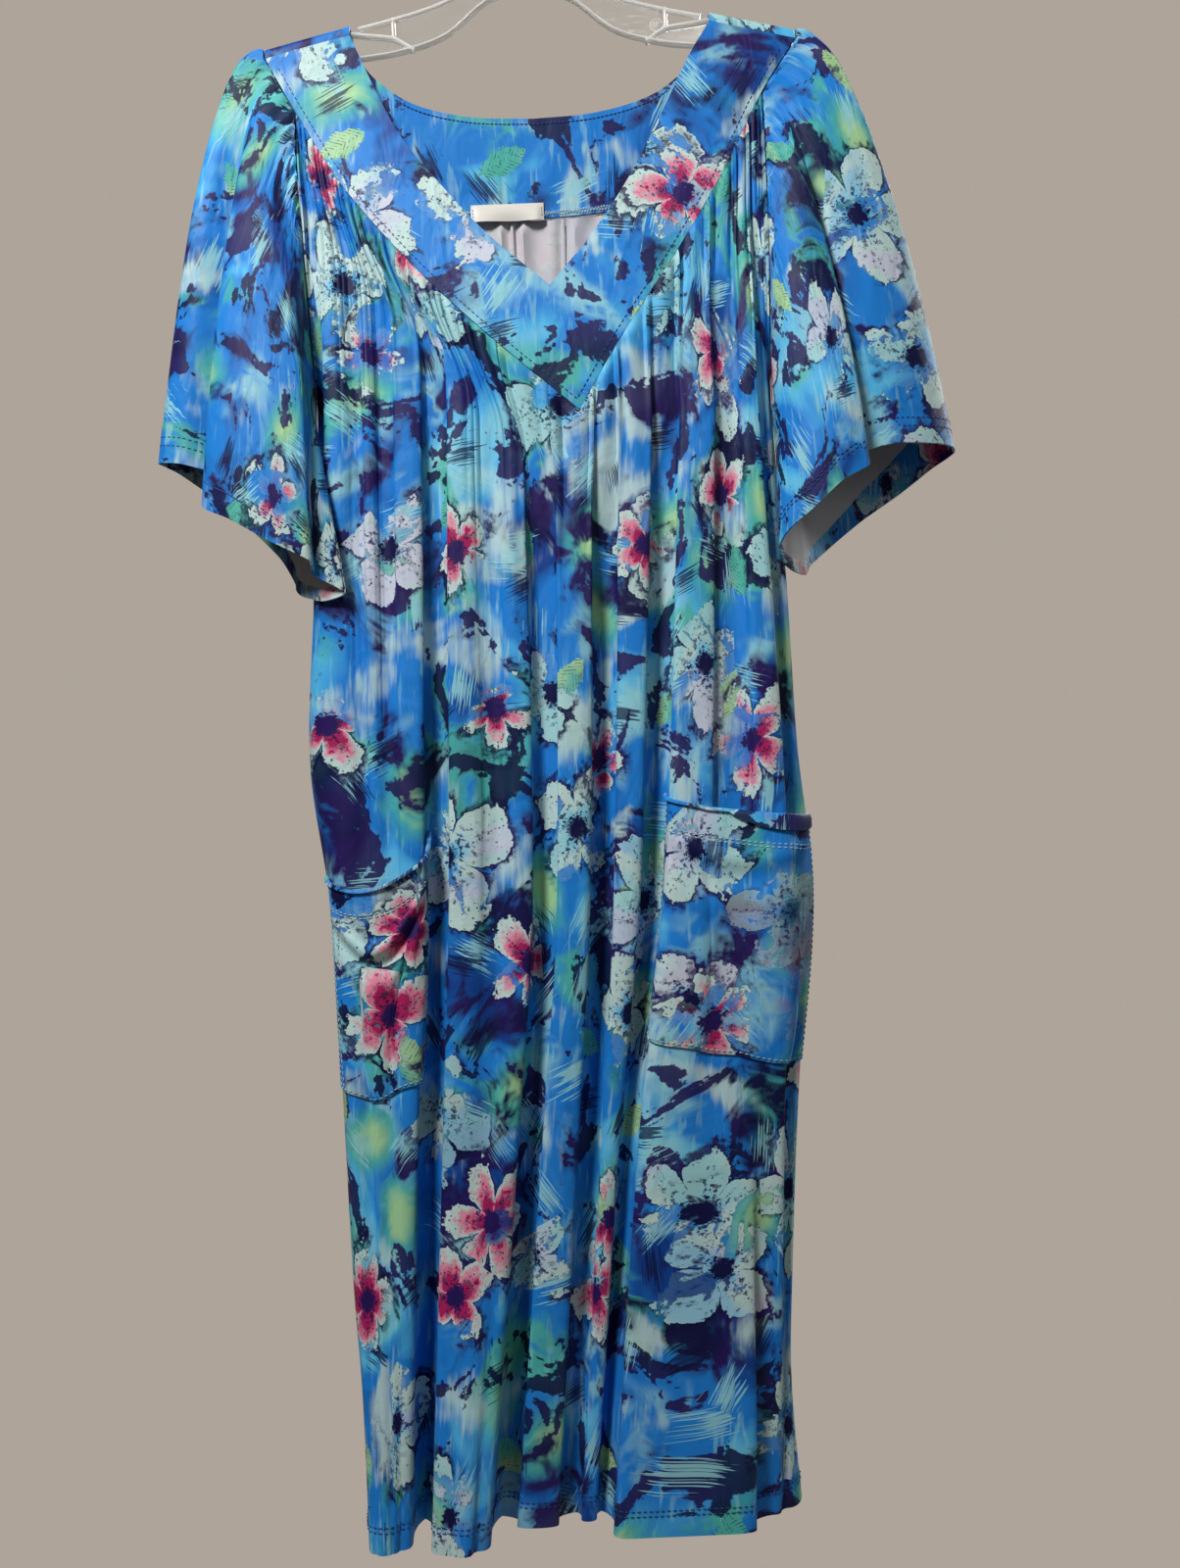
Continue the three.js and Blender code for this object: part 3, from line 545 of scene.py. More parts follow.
# Meshes.
def walled(points, thickness, wraps, outward):
    """Vertices and quads of a wall round a grid, with each corner's place in the grid."""
    rows, cols = points.shape[:2]
    if wraps:
        across = np.roll(points, -1, 1) - np.roll(points, 1, 1)
    else:
        across = np.concatenate([points[:, 1:], points[:, -1:]], 1) - np.concatenate(
            [points[:, :1], points[:, :-1]], 1
        )
    along = np.concatenate([points[1:], points[-1:]], 0) - np.concatenate(
        [points[:1], points[:-1]], 0
    )
    normal = np.cross(along, across)
    normal /= np.maximum(1e-9, np.linalg.norm(normal, axis=-1, keepdims=True))
    flip = (normal * outward).sum() < 0
    if flip:
        normal = -normal
    half = np.broadcast_to(np.asarray(thickness, float), points.shape[:2])[..., None] / 2
    vertices = np.concatenate(
        [(points + normal * half).reshape(-1, 3), (points - normal * half).reshape(-1, 3)]
    )
    wide = cols + 1 if wraps else cols
    spans = cols if wraps else cols - 1
    quads, corners, kinds = [], [], []

    def add(layers, rs, cs, kind):
        ids = [a * rows * cols + r * cols + c % cols for a, r, c in zip(layers, rs, cs)]
        quads.append(np.stack(ids, -1).reshape(-1, 4))
        corners.append(np.stack([r * wide + c for r, c in zip(rs, cs)], -1).reshape(-1, 4))
        kinds.append(np.full(len(quads[-1]), kind))

    r, c = (g.ravel() for g in np.meshgrid(np.arange(rows - 1), np.arange(spans), indexing="ij"))
    add((0, 0, 0, 0), (r, r + 1, r + 1, r), (c, c, c + 1, c + 1), 0)
    add((1, 1, 1, 1), (r, r, r + 1, r + 1), (c, c + 1, c + 1, c), 1)
    c, r = np.arange(spans), np.arange(rows - 1)
    for row, order in ((0, (0, 0, 1, 1)), (rows - 1, (1, 1, 0, 0))):
        at = np.full(spans, row)
        steps = (c, c + 1, c + 1, c)
        add(order, (at,) * 4, steps, 0)
    if not wraps:
        for col, order in ((0, (1, 1, 0, 0)), (cols - 1, (0, 0, 1, 1))):
            at = np.full(rows - 1, col)
            add(order, (r, r + 1, r + 1, r), (at,) * 4, 0)
    quads, corners = np.concatenate(quads), np.concatenate(corners)
    if flip:
        quads, corners = quads[:, ::-1], corners[:, ::-1]
    return vertices, quads, corners, np.concatenate(kinds), normal


def cloth_piece(
    name, points, cloth_uv, outward, materials, thickness=CLOTH, wraps=False, hem_rows=0
):
    """A piece of the printed cloth: print outside, pale reverse inside, printed turned-up hem."""
    vertices, quads, corners, kinds, normal = walled(points, thickness, wraps, outward)
    mesh = bpy.data.meshes.new(name)
    mesh.from_pydata((vertices * MM).tolist(), [], quads.tolist())
    wide = cloth_uv.shape[1]
    if hem_rows:
        in_hem = corners.min(1) // wide >= points.shape[0] - 1 - hem_rows
        kinds = np.where(in_hem, 0, kinds)
    for material in materials:
        mesh.materials.append(material)
    slots = np.minimum(kinds, len(materials) - 1).astype(np.int32)
    mesh.polygons.foreach_set("material_index", slots)
    uv = cloth_uv.reshape(-1, 2)[corners.ravel()]
    mesh.uv_layers.new(name="cloth").data.foreach_set("uv", (uv * MM).astype(np.float32).ravel())
    return placed(mesh, name), normal


def placed(mesh, name, angle=50):
    mesh.update()
    mesh.polygons.foreach_set("use_smooth", np.ones(len(mesh.polygons), bool))
    mesh.set_sharp_from_angle(angle=math.radians(angle))
    piece = bpy.data.objects.new(name, mesh)
    bpy.context.scene.collection.objects.link(piece)
    return piece


def arc_uv(points, row, downs, offset, wraps=False):
    """Cloth coordinates: across by the length of one row of the grid, and down the cloth."""
    line = points[row]
    if wraps:
        line = np.concatenate([line, line[:1]])
        downs = np.concatenate([downs, downs[:, :1]], 1)
    steps = np.linalg.norm(np.diff(line, axis=0), axis=1)
    across = np.concatenate([[0], np.cumsum(steps)])
    return np.stack(
        [np.broadcast_to(across, downs.shape) + offset[0], downs + offset[1]], -1
    )


def sewn_line(points, normals, pitch=4.2, length=3.0, width=0.85, lift=0.35):
    """Small rounded stitches along a line on a surface: their vertices and faces."""
    points, normals = np.asarray(points, float), np.asarray(normals, float)
    steps = np.linalg.norm(np.diff(points, axis=0), axis=1)
    total = np.concatenate([[0], np.cumsum(steps)])
    starts = np.arange(pitch / 2, total[-1] - length, pitch)
    vertices, faces = [], []

    def at(distance, values):
        return np.array([np.interp(distance, total, values[:, i]) for i in range(3)])

    for begin in starts:
        a, b = at(begin, points), at(begin + length, points)
        n = at(begin + length / 2, normals)
        n /= np.linalg.norm(n)
        along = (b - a) / max(1e-6, np.linalg.norm(b - a))
        side = np.cross(n, along)
        base = len(vertices)
        for k, swell in ((0, 0.25), (0.22, 1), (0.78, 1), (1, 0.25)):
            centre = lerp(a, b, k)
            for across, up in ((-0.5, 0), (0, 0.5), (0.5, 0), (0, -0.5)):
                rise = lift * swell + up * width * swell
                vertices.append(centre + side * across * width * swell + n * rise)
        for k in range(3):
            for j in range(4):
                p, q = base + 4 * k + j, base + 4 * k + (j + 1) % 4
                faces.append((p, q, q + 4, p + 4))
        faces.append((base + 3, base + 2, base + 1, base))
        faces.append(tuple(base + 12 + j for j in range(4)))
    return vertices, faces


def sewing(name, lines, material, slot, **sizes):
    """One piece made of several lines of stitches."""
    vertices, faces = [], []
    for points, normals in lines:
        more, quads = sewn_line(points, normals, **sizes)
        faces += [tuple(i + len(vertices) for i in face) for face in quads]
        vertices += more
    mesh = bpy.data.meshes.new(name)
    mesh.from_pydata([tuple(v * MM) for v in vertices], [], faces)
    mesh.materials.append(material)
    piece = placed(mesh, name, 80)
    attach(piece, "root")
    return piece


def on_panel(panel, columns, downs, lift=0.75):
    """Points just off the outside of a body panel, and the way it faces there."""
    columns, downs = np.broadcast_arrays(np.asarray(columns, float), np.asarray(downs, float))
    step = 0.03
    low, high = np.clip(columns - step, 0, panel.lines), np.clip(columns + step, 0, panel.lines)
    across = panel.point(high, downs) - panel.point(low, downs)
    along = panel.point(columns, downs + 2) - panel.point(columns, downs - 2)
    normal = np.cross(across, along)
    normal *= 1 if (normal[..., 1] * panel.facing).sum() > 0 else -1
    normal /= np.linalg.norm(normal, axis=-1, keepdims=True)
    return panel.point(columns, downs) + normal * lift, normal


# Materials.
# Blue sewing thread, darkened past its own colour as painted shade: the dark line that falls along
# each sewn seam.
SEWING_BLUE_AND_SEAM_SHADE = (0.015, 0.06, 0.22)
SEWING_PALE = (0.36, 0.56, 0.68)


class Recipe:
    """A node material under construction."""

    def __init__(self, name):
        self.material = bpy.data.materials.new(name)
        self.material.use_nodes = True
        self.tree = self.material.node_tree
        self.shader = next(n for n in self.tree.nodes if n.type == "BSDF_PRINCIPLED")

    def node(self, kind, inputs=(), **settings):
        node = self.tree.nodes.new(kind)
        for key, value in settings.items():
            setattr(node, key, value)
        for key, value in dict(inputs).items():
            self.join(value, node.inputs[key])
        return node

    def join(self, value, socket):
        if isinstance(value, bpy.types.NodeSocket):
            self.tree.links.new(value, socket)
        elif value is not None:
            socket.default_value = value

    def math(self, operation, a, b=None, c=None):
        return self.node("ShaderNodeMath", {0: a, 1: b, 2: c}, operation=operation).outputs[0]

    def plus(self, a, b):
        return self.math("ADD", a, b)

    def times(self, a, b):
        return self.math("MULTIPLY", a, b)

    def scaled(self, value, by, then_add):
        return self.math("MULTIPLY_ADD", value, by, then_add)

    def step(self, value, low, high):
        node = self.node(
            "ShaderNodeMapRange",
            {"Value": value, "From Min": low, "From Max": high},
            interpolation_type="SMOOTHSTEP",
        )
        return node.outputs["Result"]

    def mix(self, factor, a, b):
        node = self.node("ShaderNodeMix", data_type="RGBA")
        self.join(factor, node.inputs[0])
        for value, socket in ((a, node.inputs[6]), (b, node.inputs[7])):
            self.join(rgba(value), socket)
        return node.outputs[2]

    def over(self, colour, paint, where, strength=1.0):
        """The colour with paint laid over it, this strongly where it lies."""
        return self.mix(self.times(where, strength), colour, paint)

    def noise(self, vector, scale, detail=2, roughness=0.5, distortion=0):
        inputs = {
            "Vector": vector,
            "Scale": scale,
            "Detail": detail,
            "Roughness": roughness,
            "Distortion": distortion,
        }
        return self.node("ShaderNodeTexNoise", inputs).outputs["Fac"]

    def moved(self, vector, location=(0, 0, 0), rotation=0, scale=(1, 1, 1)):
        inputs = {
            "Vector": vector,
            "Location": location,
            "Rotation": (0, 0, rotation),
            "Scale": scale,
        }
        return self.node("ShaderNodeMapping", inputs).outputs[0]

    def ramp(self, factor, stops):
        node = self.node("ShaderNodeValToRGB", {"Fac": factor})
        ramp = node.color_ramp
        while len(ramp.elements) < len(stops):
            ramp.elements.new(1)
        for element, (at, colour) in zip(ramp.elements, stops):
            element.position, element.color = at, rgba(colour)
        return node.outputs["Color"]

    def vector(self, operation, a, b):
        return self.node("ShaderNodeVectorMath", {0: a, 1: b}, operation=operation).outputs[0]

    def length(self, x, y, squeeze=1.0):
        y = self.times(y, squeeze)
        return self.math("SQRT", self.scaled(x, x, self.times(y, y)))

    def parts(self, vector):
        return self.node("ShaderNodeSeparateXYZ", {0: vector}).outputs

    def scattered(self, cloth, size, shift, randomness=0.9):
        """A jittered layout: the place in the nearest cell, turned at random, and its numbers."""
        at = self.moved(cloth, shift)
        inputs = {"Vector": at, "Scale": 1 / size, "Randomness": randomness}
        cells = self.node("ShaderNodeTexVoronoi", inputs, voronoi_dimensions="2D")
        away = self.vector("SUBTRACT", at, cells.outputs["Position"])
        numbers = self.node("ShaderNodeSeparateColor", {0: cells.outputs["Color"]}).outputs
        angle = self.times(numbers[0], 2 * math.pi)
        inputs = {"Vector": away, "Angle": angle}
        turned = self.node("ShaderNodeVectorRotate", inputs, rotation_type="Z_AXIS").outputs[0]
        x, y, _ = self.parts(turned)
        return x, y, numbers

    def bump(self, heightmap, strength, distance):
        inputs = {"Height": heightmap, "Strength": strength, "Distance": distance}
        return self.node("ShaderNodeBump", inputs).outputs["Normal"]

    def finish(self, colour, roughness, normal=None, **plain):
        self.join(rgba(colour), self.shader.inputs["Base Color"])
        self.join(roughness, self.shader.inputs["Roughness"])
        if normal is not None:
            self.join(normal, self.shader.inputs["Normal"])
        for key, value in plain.items():
            self.shader.inputs[key.replace("_", " ")].default_value = value
        return self.material


def rgba(colour):
    if isinstance(colour, bpy.types.NodeSocket) or colour is None:
        return colour
    return (*tuple(colour)[:3], 1.0)


def bloom(r, cloth, spacing, shift, reach, ragged, wobble):
    """Open flowers: how far inside a petal a point is, how far out along it, and so on."""
    x, y, numbers = r.scattered(cloth, spacing, shift, 0.82)
    away = r.length(x, y)
    petals = r.math("ROUND", r.scaled(numbers[1], 2.2, 3.6))
    half_turns = r.times(r.math("ARCTAN2", y, x), r.times(petals, 0.5))
    lobe = r.math("POWER", r.math("ABSOLUTE", r.math("COSINE", half_turns)), 0.55)
    full = r.scaled(numbers[2], 0.45 * reach, 0.75 * reach)
    length = r.times(full, r.scaled(lobe, 0.74, 0.26))
    length = r.plus(length, wobble)
    inside = r.plus(r.math("SUBTRACT", length, away), ragged)
    middle = r.times(away, r.math("ABSOLUTE", r.math("SINE", half_turns)))
    along = r.math("DIVIDE", away, r.math("MAXIMUM", length, 0.004))
    return {"inside": inside, "away": away, "along": along, "middle": middle, "numbers": numbers}


def print_colour(r, looks):
    """The watery floral print, painted in cloth coordinates."""
    cloth = r.node("ShaderNodeUVMap", uv_map="cloth").outputs["UV"]
    wash = r.noise(cloth, 8.5, 3, 0.5, 0.7)
    blots = r.noise(r.moved(cloth, (3.1, 1.7, 0)), 19, 3, 0.6, 1.1)
    hue = r.noise(r.moved(cloth, (7.7, 2.2, 0)), 11, 2, 0.5, 0.6)
    torn = r.noise(r.moved(cloth, (0, 5, 0)), 210, 3, 0.62)
    frayed = r.plus(blots, r.scaled(torn, 0.16, -0.08))

    ground = [(0.33, looks.deep_azure), (0.43, looks.azure), (0.55, looks.azure)]
    ground += [(0.61, looks.sky), (0.72, looks.aqua)]
    colour = r.ramp(wash, ground)

    # Green, misty and pale washes over the ground, and dry streaks.
    teal = r.times(r.step(hue, 0.44, 0.36), r.step(blots, 0.40, 0.52))
    colour = r.over(colour, looks.mint, teal, 0.85)
    misty = r.times(r.step(hue, 0.57, 0.68), r.step(blots, 0.36, 0.5))
    colour = r.over(colour, looks.aqua, misty, 0.8)
    brushed = r.noise(r.moved(cloth, (1.9, 0.6, 0), 0.5, (190, 26, 1)), 1, 2, 0.55, 0.3)
    pale = r.noise(r.moved(cloth, (9.4, 4.8, 0)), 12, 2, 0.5, 0.9)
    pale = r.plus(pale, r.scaled(brushed, 0.24, -0.12))
    colour = r.over(colour, looks.petal, r.step(pale, 0.555, 0.70), 0.85)
    streaky = r.times(r.step(brushed, 0.56, 0.66), r.step(wash, 0.42, 0.54))
    colour = r.over(colour, looks.aqua, streaky, 0.4)

    # Glows that turn from green to yellow.
    x, y, _ = r.scattered(cloth, 0.150, (0.4, 0.9, 0))
    glow = r.plus(r.length(x, y, 1.5), r.scaled(blots, 0.05, -0.025))
    colour = r.over(colour, looks.mint, r.step(glow, 0.042, 0.016), 0.85)
    colour = r.over(colour, looks.lime, r.step(glow, 0.024, 0.004), 0.85)

    # Dark blots, soft and frayed.
    dark = r.mix(r.step(hue, 0.40, 0.58), looks.navy, looks.violet)
    shadowed = r.step(wash, 0.50, 0.39)
    shadow = r.times(r.step(blots, 0.46, 0.56), shadowed)
    colour = r.over(colour, dark, shadow, 0.9)
    colour = r.over(colour, dark, r.step(frayed, 0.553, 0.574), 0.95)

    # Marks of a dry brush, pale and dark.
    for spacing, shift, long, tint in (
        (0.066, (1.3, 0.2, 0), 0.017, looks.aqua),
        (0.074, (2.6, 1.1, 0), 0.014, looks.navy),
    ):
        x, y, numbers = r.scattered(cloth, spacing, shift)
        inputs = {0: r.times(x, 30), 1: r.times(y, 700), 2: numbers[1]}
        comb = r.noise(r.node("ShaderNodeCombineXYZ", inputs).outputs[0], 1, 2, 0.55)
        reach = r.length(x, y, 1.5)
        bristles = r.math("SUBTRACT", comb, r.times(reach, 0.20 / long))
        dab = r.times(r.step(bristles, 0.36, 0.40), r.step(numbers[2], 0.30, 0.32))
        colour = r.over(colour, tint, dab, 0.85)

    # Small veined leaves.
    x, y, numbers = r.scattered(cloth, 0.135, (5.2, 3.3, 0))
    width = r.math("SUBTRACT", 0.010, r.times(r.times(x, x), 24))
    blade = r.math("SUBTRACT", width, r.math("ABSOLUTE", y))
    blade = r.plus(blade, r.scaled(torn, 0.012, -0.006))
    in_leaf = r.times(r.step(blade, 0, 0.0006), r.step(numbers[1], 0.34, 0.36))
    veins = r.math("SINE", r.times(r.math("SUBTRACT", x, r.math("ABSOLUTE", y)), 1900))
    leaf = r.mix(r.step(hue, 0.45, 0.56), looks.mint, looks.lime)
    vein = r.times(r.step(veins, 0.6, 0.95), r.step(torn, 0.44, 0.6))
    leaf = r.mix(vein, leaf, looks.navy)
    colour = r.over(colour, leaf, in_leaf, 0.9)

    # Open flowers, pale ones and then warm ones, with a halo, specks and a dark heart.
    wobble = r.scaled(blots, 0.052, -0.026)
    ragged = r.scaled(torn, 0.015, -0.0075)
    dots = r.node("ShaderNodeTexVoronoi", {"Vector": cloth, "Scale": 330}, voronoi_dimensions="2D")
    dots = r.step(dots.outputs["Distance"], 0.34, 0.26)
    for spacing, shift, reach, few, warm in (
        (0.104, (0, 0, 0), 0.046, 0.48, False),
        (0.150, (4.4, 6.1, 0), 0.036, 0.30, True),
    ):
        f = bloom(r, cloth, spacing, shift, reach, ragged, wobble)
        there = r.step(f["numbers"][0], few, few + 0.02)
        near = r.plus(f["inside"], r.scaled(torn, 0.016, -0.008))
        halo = r.times(r.step(near, -0.013, -0.0015), r.step(blots, 0.42, 0.52))
        colour = r.over(colour, dark, r.times(halo, there), 0.92)
        if warm:
            outer = r.step(r.plus(f["along"], r.times(torn, 0.9)), 1.02, 1.36)
            body = r.mix(outer, looks.pink, looks.petal)
            stained = r.plus(f["along"], r.scaled(brushed, 0.5, torn))
            body = r.mix(r.step(stained, 1.32, 1.16), body, looks.crimson)
        else:
            body = r.mix(r.step(f["along"], 0.50, 0.12), looks.petal, looks.sky)
            body = r.over(body, looks.aqua, r.step(wash, 0.46, 0.60), 0.75)
            body = r.over(body, looks.blush, r.step(hue, 0.55, 0.62), 0.55)
            body = r.over(body, looks.sky, r.step(wash, 0.42, 0.34), 0.5)
        middle = r.times(r.step(f["middle"], 0.0022, 0.0012), r.step(dots, 0.3, 0.6))
        specks = r.times(dots, r.step(torn, 0.57, 0.64))
        body = r.over(body, looks.navy, r.math("MAXIMUM", middle, specks), 0.85)
        streaks = r.times(r.step(f["along"], 0.80, 0.3), r.step(torn, 0.53, 0.57))
        body = r.over(body, dark, streaks, 0.9)
        lasting = r.step(r.plus(blots, r.times(torn, 0.26)), 0.582, 0.606)
        shown = r.times(r.step(f["inside"], 0, 0.0007), there)
        shown = r.times(shown, r.scaled(lasting, 0.86, 0.12))
        colour = r.mix(shown, colour, body)
        core = r.plus(f["away"], r.scaled(torn, 0.024, -0.012))
        core = r.times(r.step(core, 0.0095, 0.0070), there)
        colour = r.mix(core, colour, looks.violet if warm else looks.navy)
    return colour, torn, cloth


def knit_height(r, cloth):
    """The fine ribs of the knit."""
    return r.noise(r.moved(cloth, scale=(2200, 900, 1)), 1, 1, 0.5)


def printed_cloth(name, looks):
    """The printed side: a smooth knit with fine ribs and soft creases."""
    r = Recipe(name)
    colour, ragged, cloth = print_colour(r, looks)
    roughness = r.scaled(ragged, 0.12, looks.cloth_roughness - 0.06)
    creases = r.noise(r.moved(cloth, (2.2, 8.8, 0), 0.35, (1, 0.55, 1)), 42, 2, 0.5, 0.9)
    normal = r.bump(r.scaled(knit_height(r, cloth), 0.06, creases), 0.7, 0.0028)
    return r.finish(
        colour,
        roughness,
        normal,
        Specular_IOR_Level=0.18,
        Sheen_Weight=0.04,
        Sheen_Roughness=0.4,
        Sheen_Tint=(0.75, 0.9, 1.0, 1.0),
    )


def reverse_cloth(name, looks):
    """The unprinted reverse, where only a ghost of the print comes through."""
    r = Recipe(name)
    colour, ragged, cloth = print_colour(r, looks)
    ghost = r.mix(0.9, colour, looks.reverse)
    colour = r.mix(r.times(ragged, 0.12), ghost, (0.5, 0.5, 0.56))
    normal = r.bump(knit_height(r, cloth), 0.3, 0.0004)
    return r.finish(colour, 0.72, normal, Specular_IOR_Level=0.3, Sheen_Weight=0.1)


def thread(name, colour):
    """Twisted sewing thread."""
    r = Recipe(name)
    place = r.node("ShaderNodeTexCoord").outputs["Object"]
    twist = r.noise(r.moved(place, scale=(1, 1, 3)), 1600, 1)
    shade = r.mix(r.step(twist, 0.35, 0.65), [c * 0.7 for c in colour], colour)
    return r.finish(shade, 0.6, r.bump(twist, 0.4, 0.0002), Specular_IOR_Level=0.3)


def label_cloth(name, looks):
    """Woven satin ribbon, a little uneven in tone."""
    r = Recipe(name)
    place = r.node("ShaderNodeTexCoord").outputs["Object"]
    weave = r.noise(r.moved(place, scale=(5200, 5200, 900)), 1, 1)
    cloudy = r.noise(place, 60, 2)
    colour = r.mix(r.times(cloudy, 0.3), looks.label, [c * 0.8 for c in looks.label])
    return r.finish(colour, 0.42, r.bump(weave, 0.3, 0.0003), Sheen_Weight=0.15)


def clear_plastic(name, looks, clearness):
    """Moulded plastic: its thick rails catch more light than the thin plate between them."""
    r = Recipe(name)
    place = r.node("ShaderNodeTexCoord").outputs["Object"]
    scuffs = r.noise(r.moved(place, scale=(1, 1, 4)), 90, 3, 0.6)
    roughness = r.scaled(r.step(scuffs, 0.5, 0.8), 0.16, 0.07)
    normal = r.bump(r.noise(place, 45, 1), 0.06, 0.001)
    return r.finish(
        looks.plastic,
        roughness,
        normal,
        IOR=1.49,
        Transmission_Weight=clearness,
        Specular_IOR_Level=0.55,
    )


def floor_finish(name, looks):
    """Plain pale floor, softly mottled."""
    r = Recipe(name)
    place = r.node("ShaderNodeTexCoord").outputs["Object"]
    mottle = r.noise(place, 6, 3)
    colour = r.mix(r.times(mottle, 0.2), looks.floor, [c * 0.85 for c in looks.floor])
    return r.finish(colour, 0.7)


# What a user can change.
def length_property(name, description, default, low, high):
    return FloatProperty(
        name=name, description=description, default=default, min=low, max=high, unit="LENGTH"
    )


def share_property(name, description, default, low=0):
    return FloatProperty(
        name=name, description=description, default=default, min=low, max=1, subtype="FACTOR"
    )


def colour_property(name, description, default):
    return FloatVectorProperty(
        name=name, description=description, default=default, size=3, min=0, max=1, subtype="COLOR"
    )


class DressSizes(PropertyGroup):
    """Sizes of the cloth and of its sewing."""

    cloth_thickness: length_property(
        "Cloth thickness", "Wall of one panel, with its two finished sides", 0.0012, 0.001, 0.003
    )
    hem_depth: length_property(
        "Hem depth", "How far the hems are turned up inside", 0.02, 0.01, 0.04
    )
    stitch_pitch: length_property(
        "Stitch pitch", "Distance from one stitch to the next", 0.0042, 0.002, 0.008
    )
    columns_per_fold: IntProperty(
        name="Columns per fold",
        description="Fineness of the body panels across each half fold",
        default=17,
        min=4,
        max=20,
    )
    floor_drop: length_property(
        "Floor below hook", "Distance from the hook's seat down to the floor", 1.8, 1.3, 2.5
    )


class DressLooks(PropertyGroup):
    """Colours of the print, the reverse, the label and the hanger."""

    deep_azure: colour_property("Deep azure", "Darkest wash of the ground", (0.003, 0.045, 0.26))
    azure: colour_property("Azure", "Main colour of the ground", (0.010, 0.19, 0.62))
    sky: colour_property("Sky", "Light wash of the ground", (0.07, 0.42, 0.76))
    aqua: colour_property("Aqua", "Palest wash and brush marks", (0.26, 0.58, 0.66))
    mint: colour_property("Mint", "Green washes and leaves", (0.07, 0.42, 0.34))
    lime: colour_property("Lime", "Yellow-green glow", (0.36, 0.60, 0.30))
    navy: colour_property("Navy", "Dark blots, hearts and specks", (0.003, 0.0045, 0.05))
    violet: colour_property("Violet", "Warmer dark blots", (0.016, 0.006, 0.09))
    petal: colour_property("Petal", "Pale petals", (0.46, 0.64, 0.64))
    blush: colour_property("Blush", "Lilac cast of some petals", (0.55, 0.50, 0.74))
    pink: colour_property("Pink", "Warm petals", (0.68, 0.20, 0.32))
    crimson: colour_property("Crimson", "Hearts of the warm flowers", (0.36, 0.012, 0.10))
    reverse: colour_property("Reverse", "Unprinted side of the knit", (0.50, 0.50, 0.54))
    label: colour_property("Label", "Bare woven label", (0.56, 0.56, 0.53))
    plastic: colour_property("Plastic", "Tint of the clear hanger", (0.93, 0.95, 0.95))
    floor: colour_property("Floor", "Pale floor", (0.62, 0.60, 0.57))
    surround: colour_property("Surround", "Plain studio surround", (0.54, 0.475, 0.415))
    ambient: share_property("Ambient", "Strength of the soft light from all round", 0.15)
    cloth_roughness: share_property("Cloth roughness", "Roughness of the print", 0.52, 0.2)
    rail_clearness: share_property(
        "Rail clearness", "How much light the thick rails of the hanger let through", 0.6
    )
    plate_clearness: share_property(
        "Plate clearness", "How much light the thin plate between the rails lets through", 0.96
    )


def shared(name, maker, *inputs):
    """A material that several pieces use, made once."""
    return bpy.data.materials.get(name) or maker(name, *inputs)


def sides_of_cloth(context):
    """The printed side and the reverse."""
    looks = context.scene.dress_looks
    return [
        shared("printed_knit", printed_cloth, looks),
        shared("knit_reverse", reverse_cloth, looks),
    ]


def body_panel(context, name, panel, rows, node):
    """The gathered front or back, from its seam with the yoke down to its hem."""
    sizes = context.scene.dress_sizes
    columns = np.linspace(0, panel.lines, panel.lines * sizes.columns_per_fold + 1)
    seam = panel.seam(columns)[1]
    share = np.linspace(0, 1, rows + 1)[:, None] ** 1.12
    downs = lerp(seam[None], DRESS_LENGTH, share)
    points = panel.point(columns[None], downs)
    hem = sizes.hem_depth / MM
    thickness = sizes.cloth_thickness / MM + 0.5 * (downs > DRESS_LENGTH - hem)
    hem_rows = int((downs[:, 0] > DRESS_LENGTH - hem).sum())
    uv = arc_uv(points, int(rows * 0.62), downs, CUT_FROM[name])
    outward = np.array([0, panel.facing, 0])
    piece, _ = cloth_piece(
        name, points, uv, outward, sides_of_cloth(context), thickness, hem_rows=hem_rows
    )
    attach(piece, "root")
    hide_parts(node)
    return piece


FLOOR_RADIUS, FLOOR_THICK, FLOOR_SIDES = 0.72, 0.012, 96


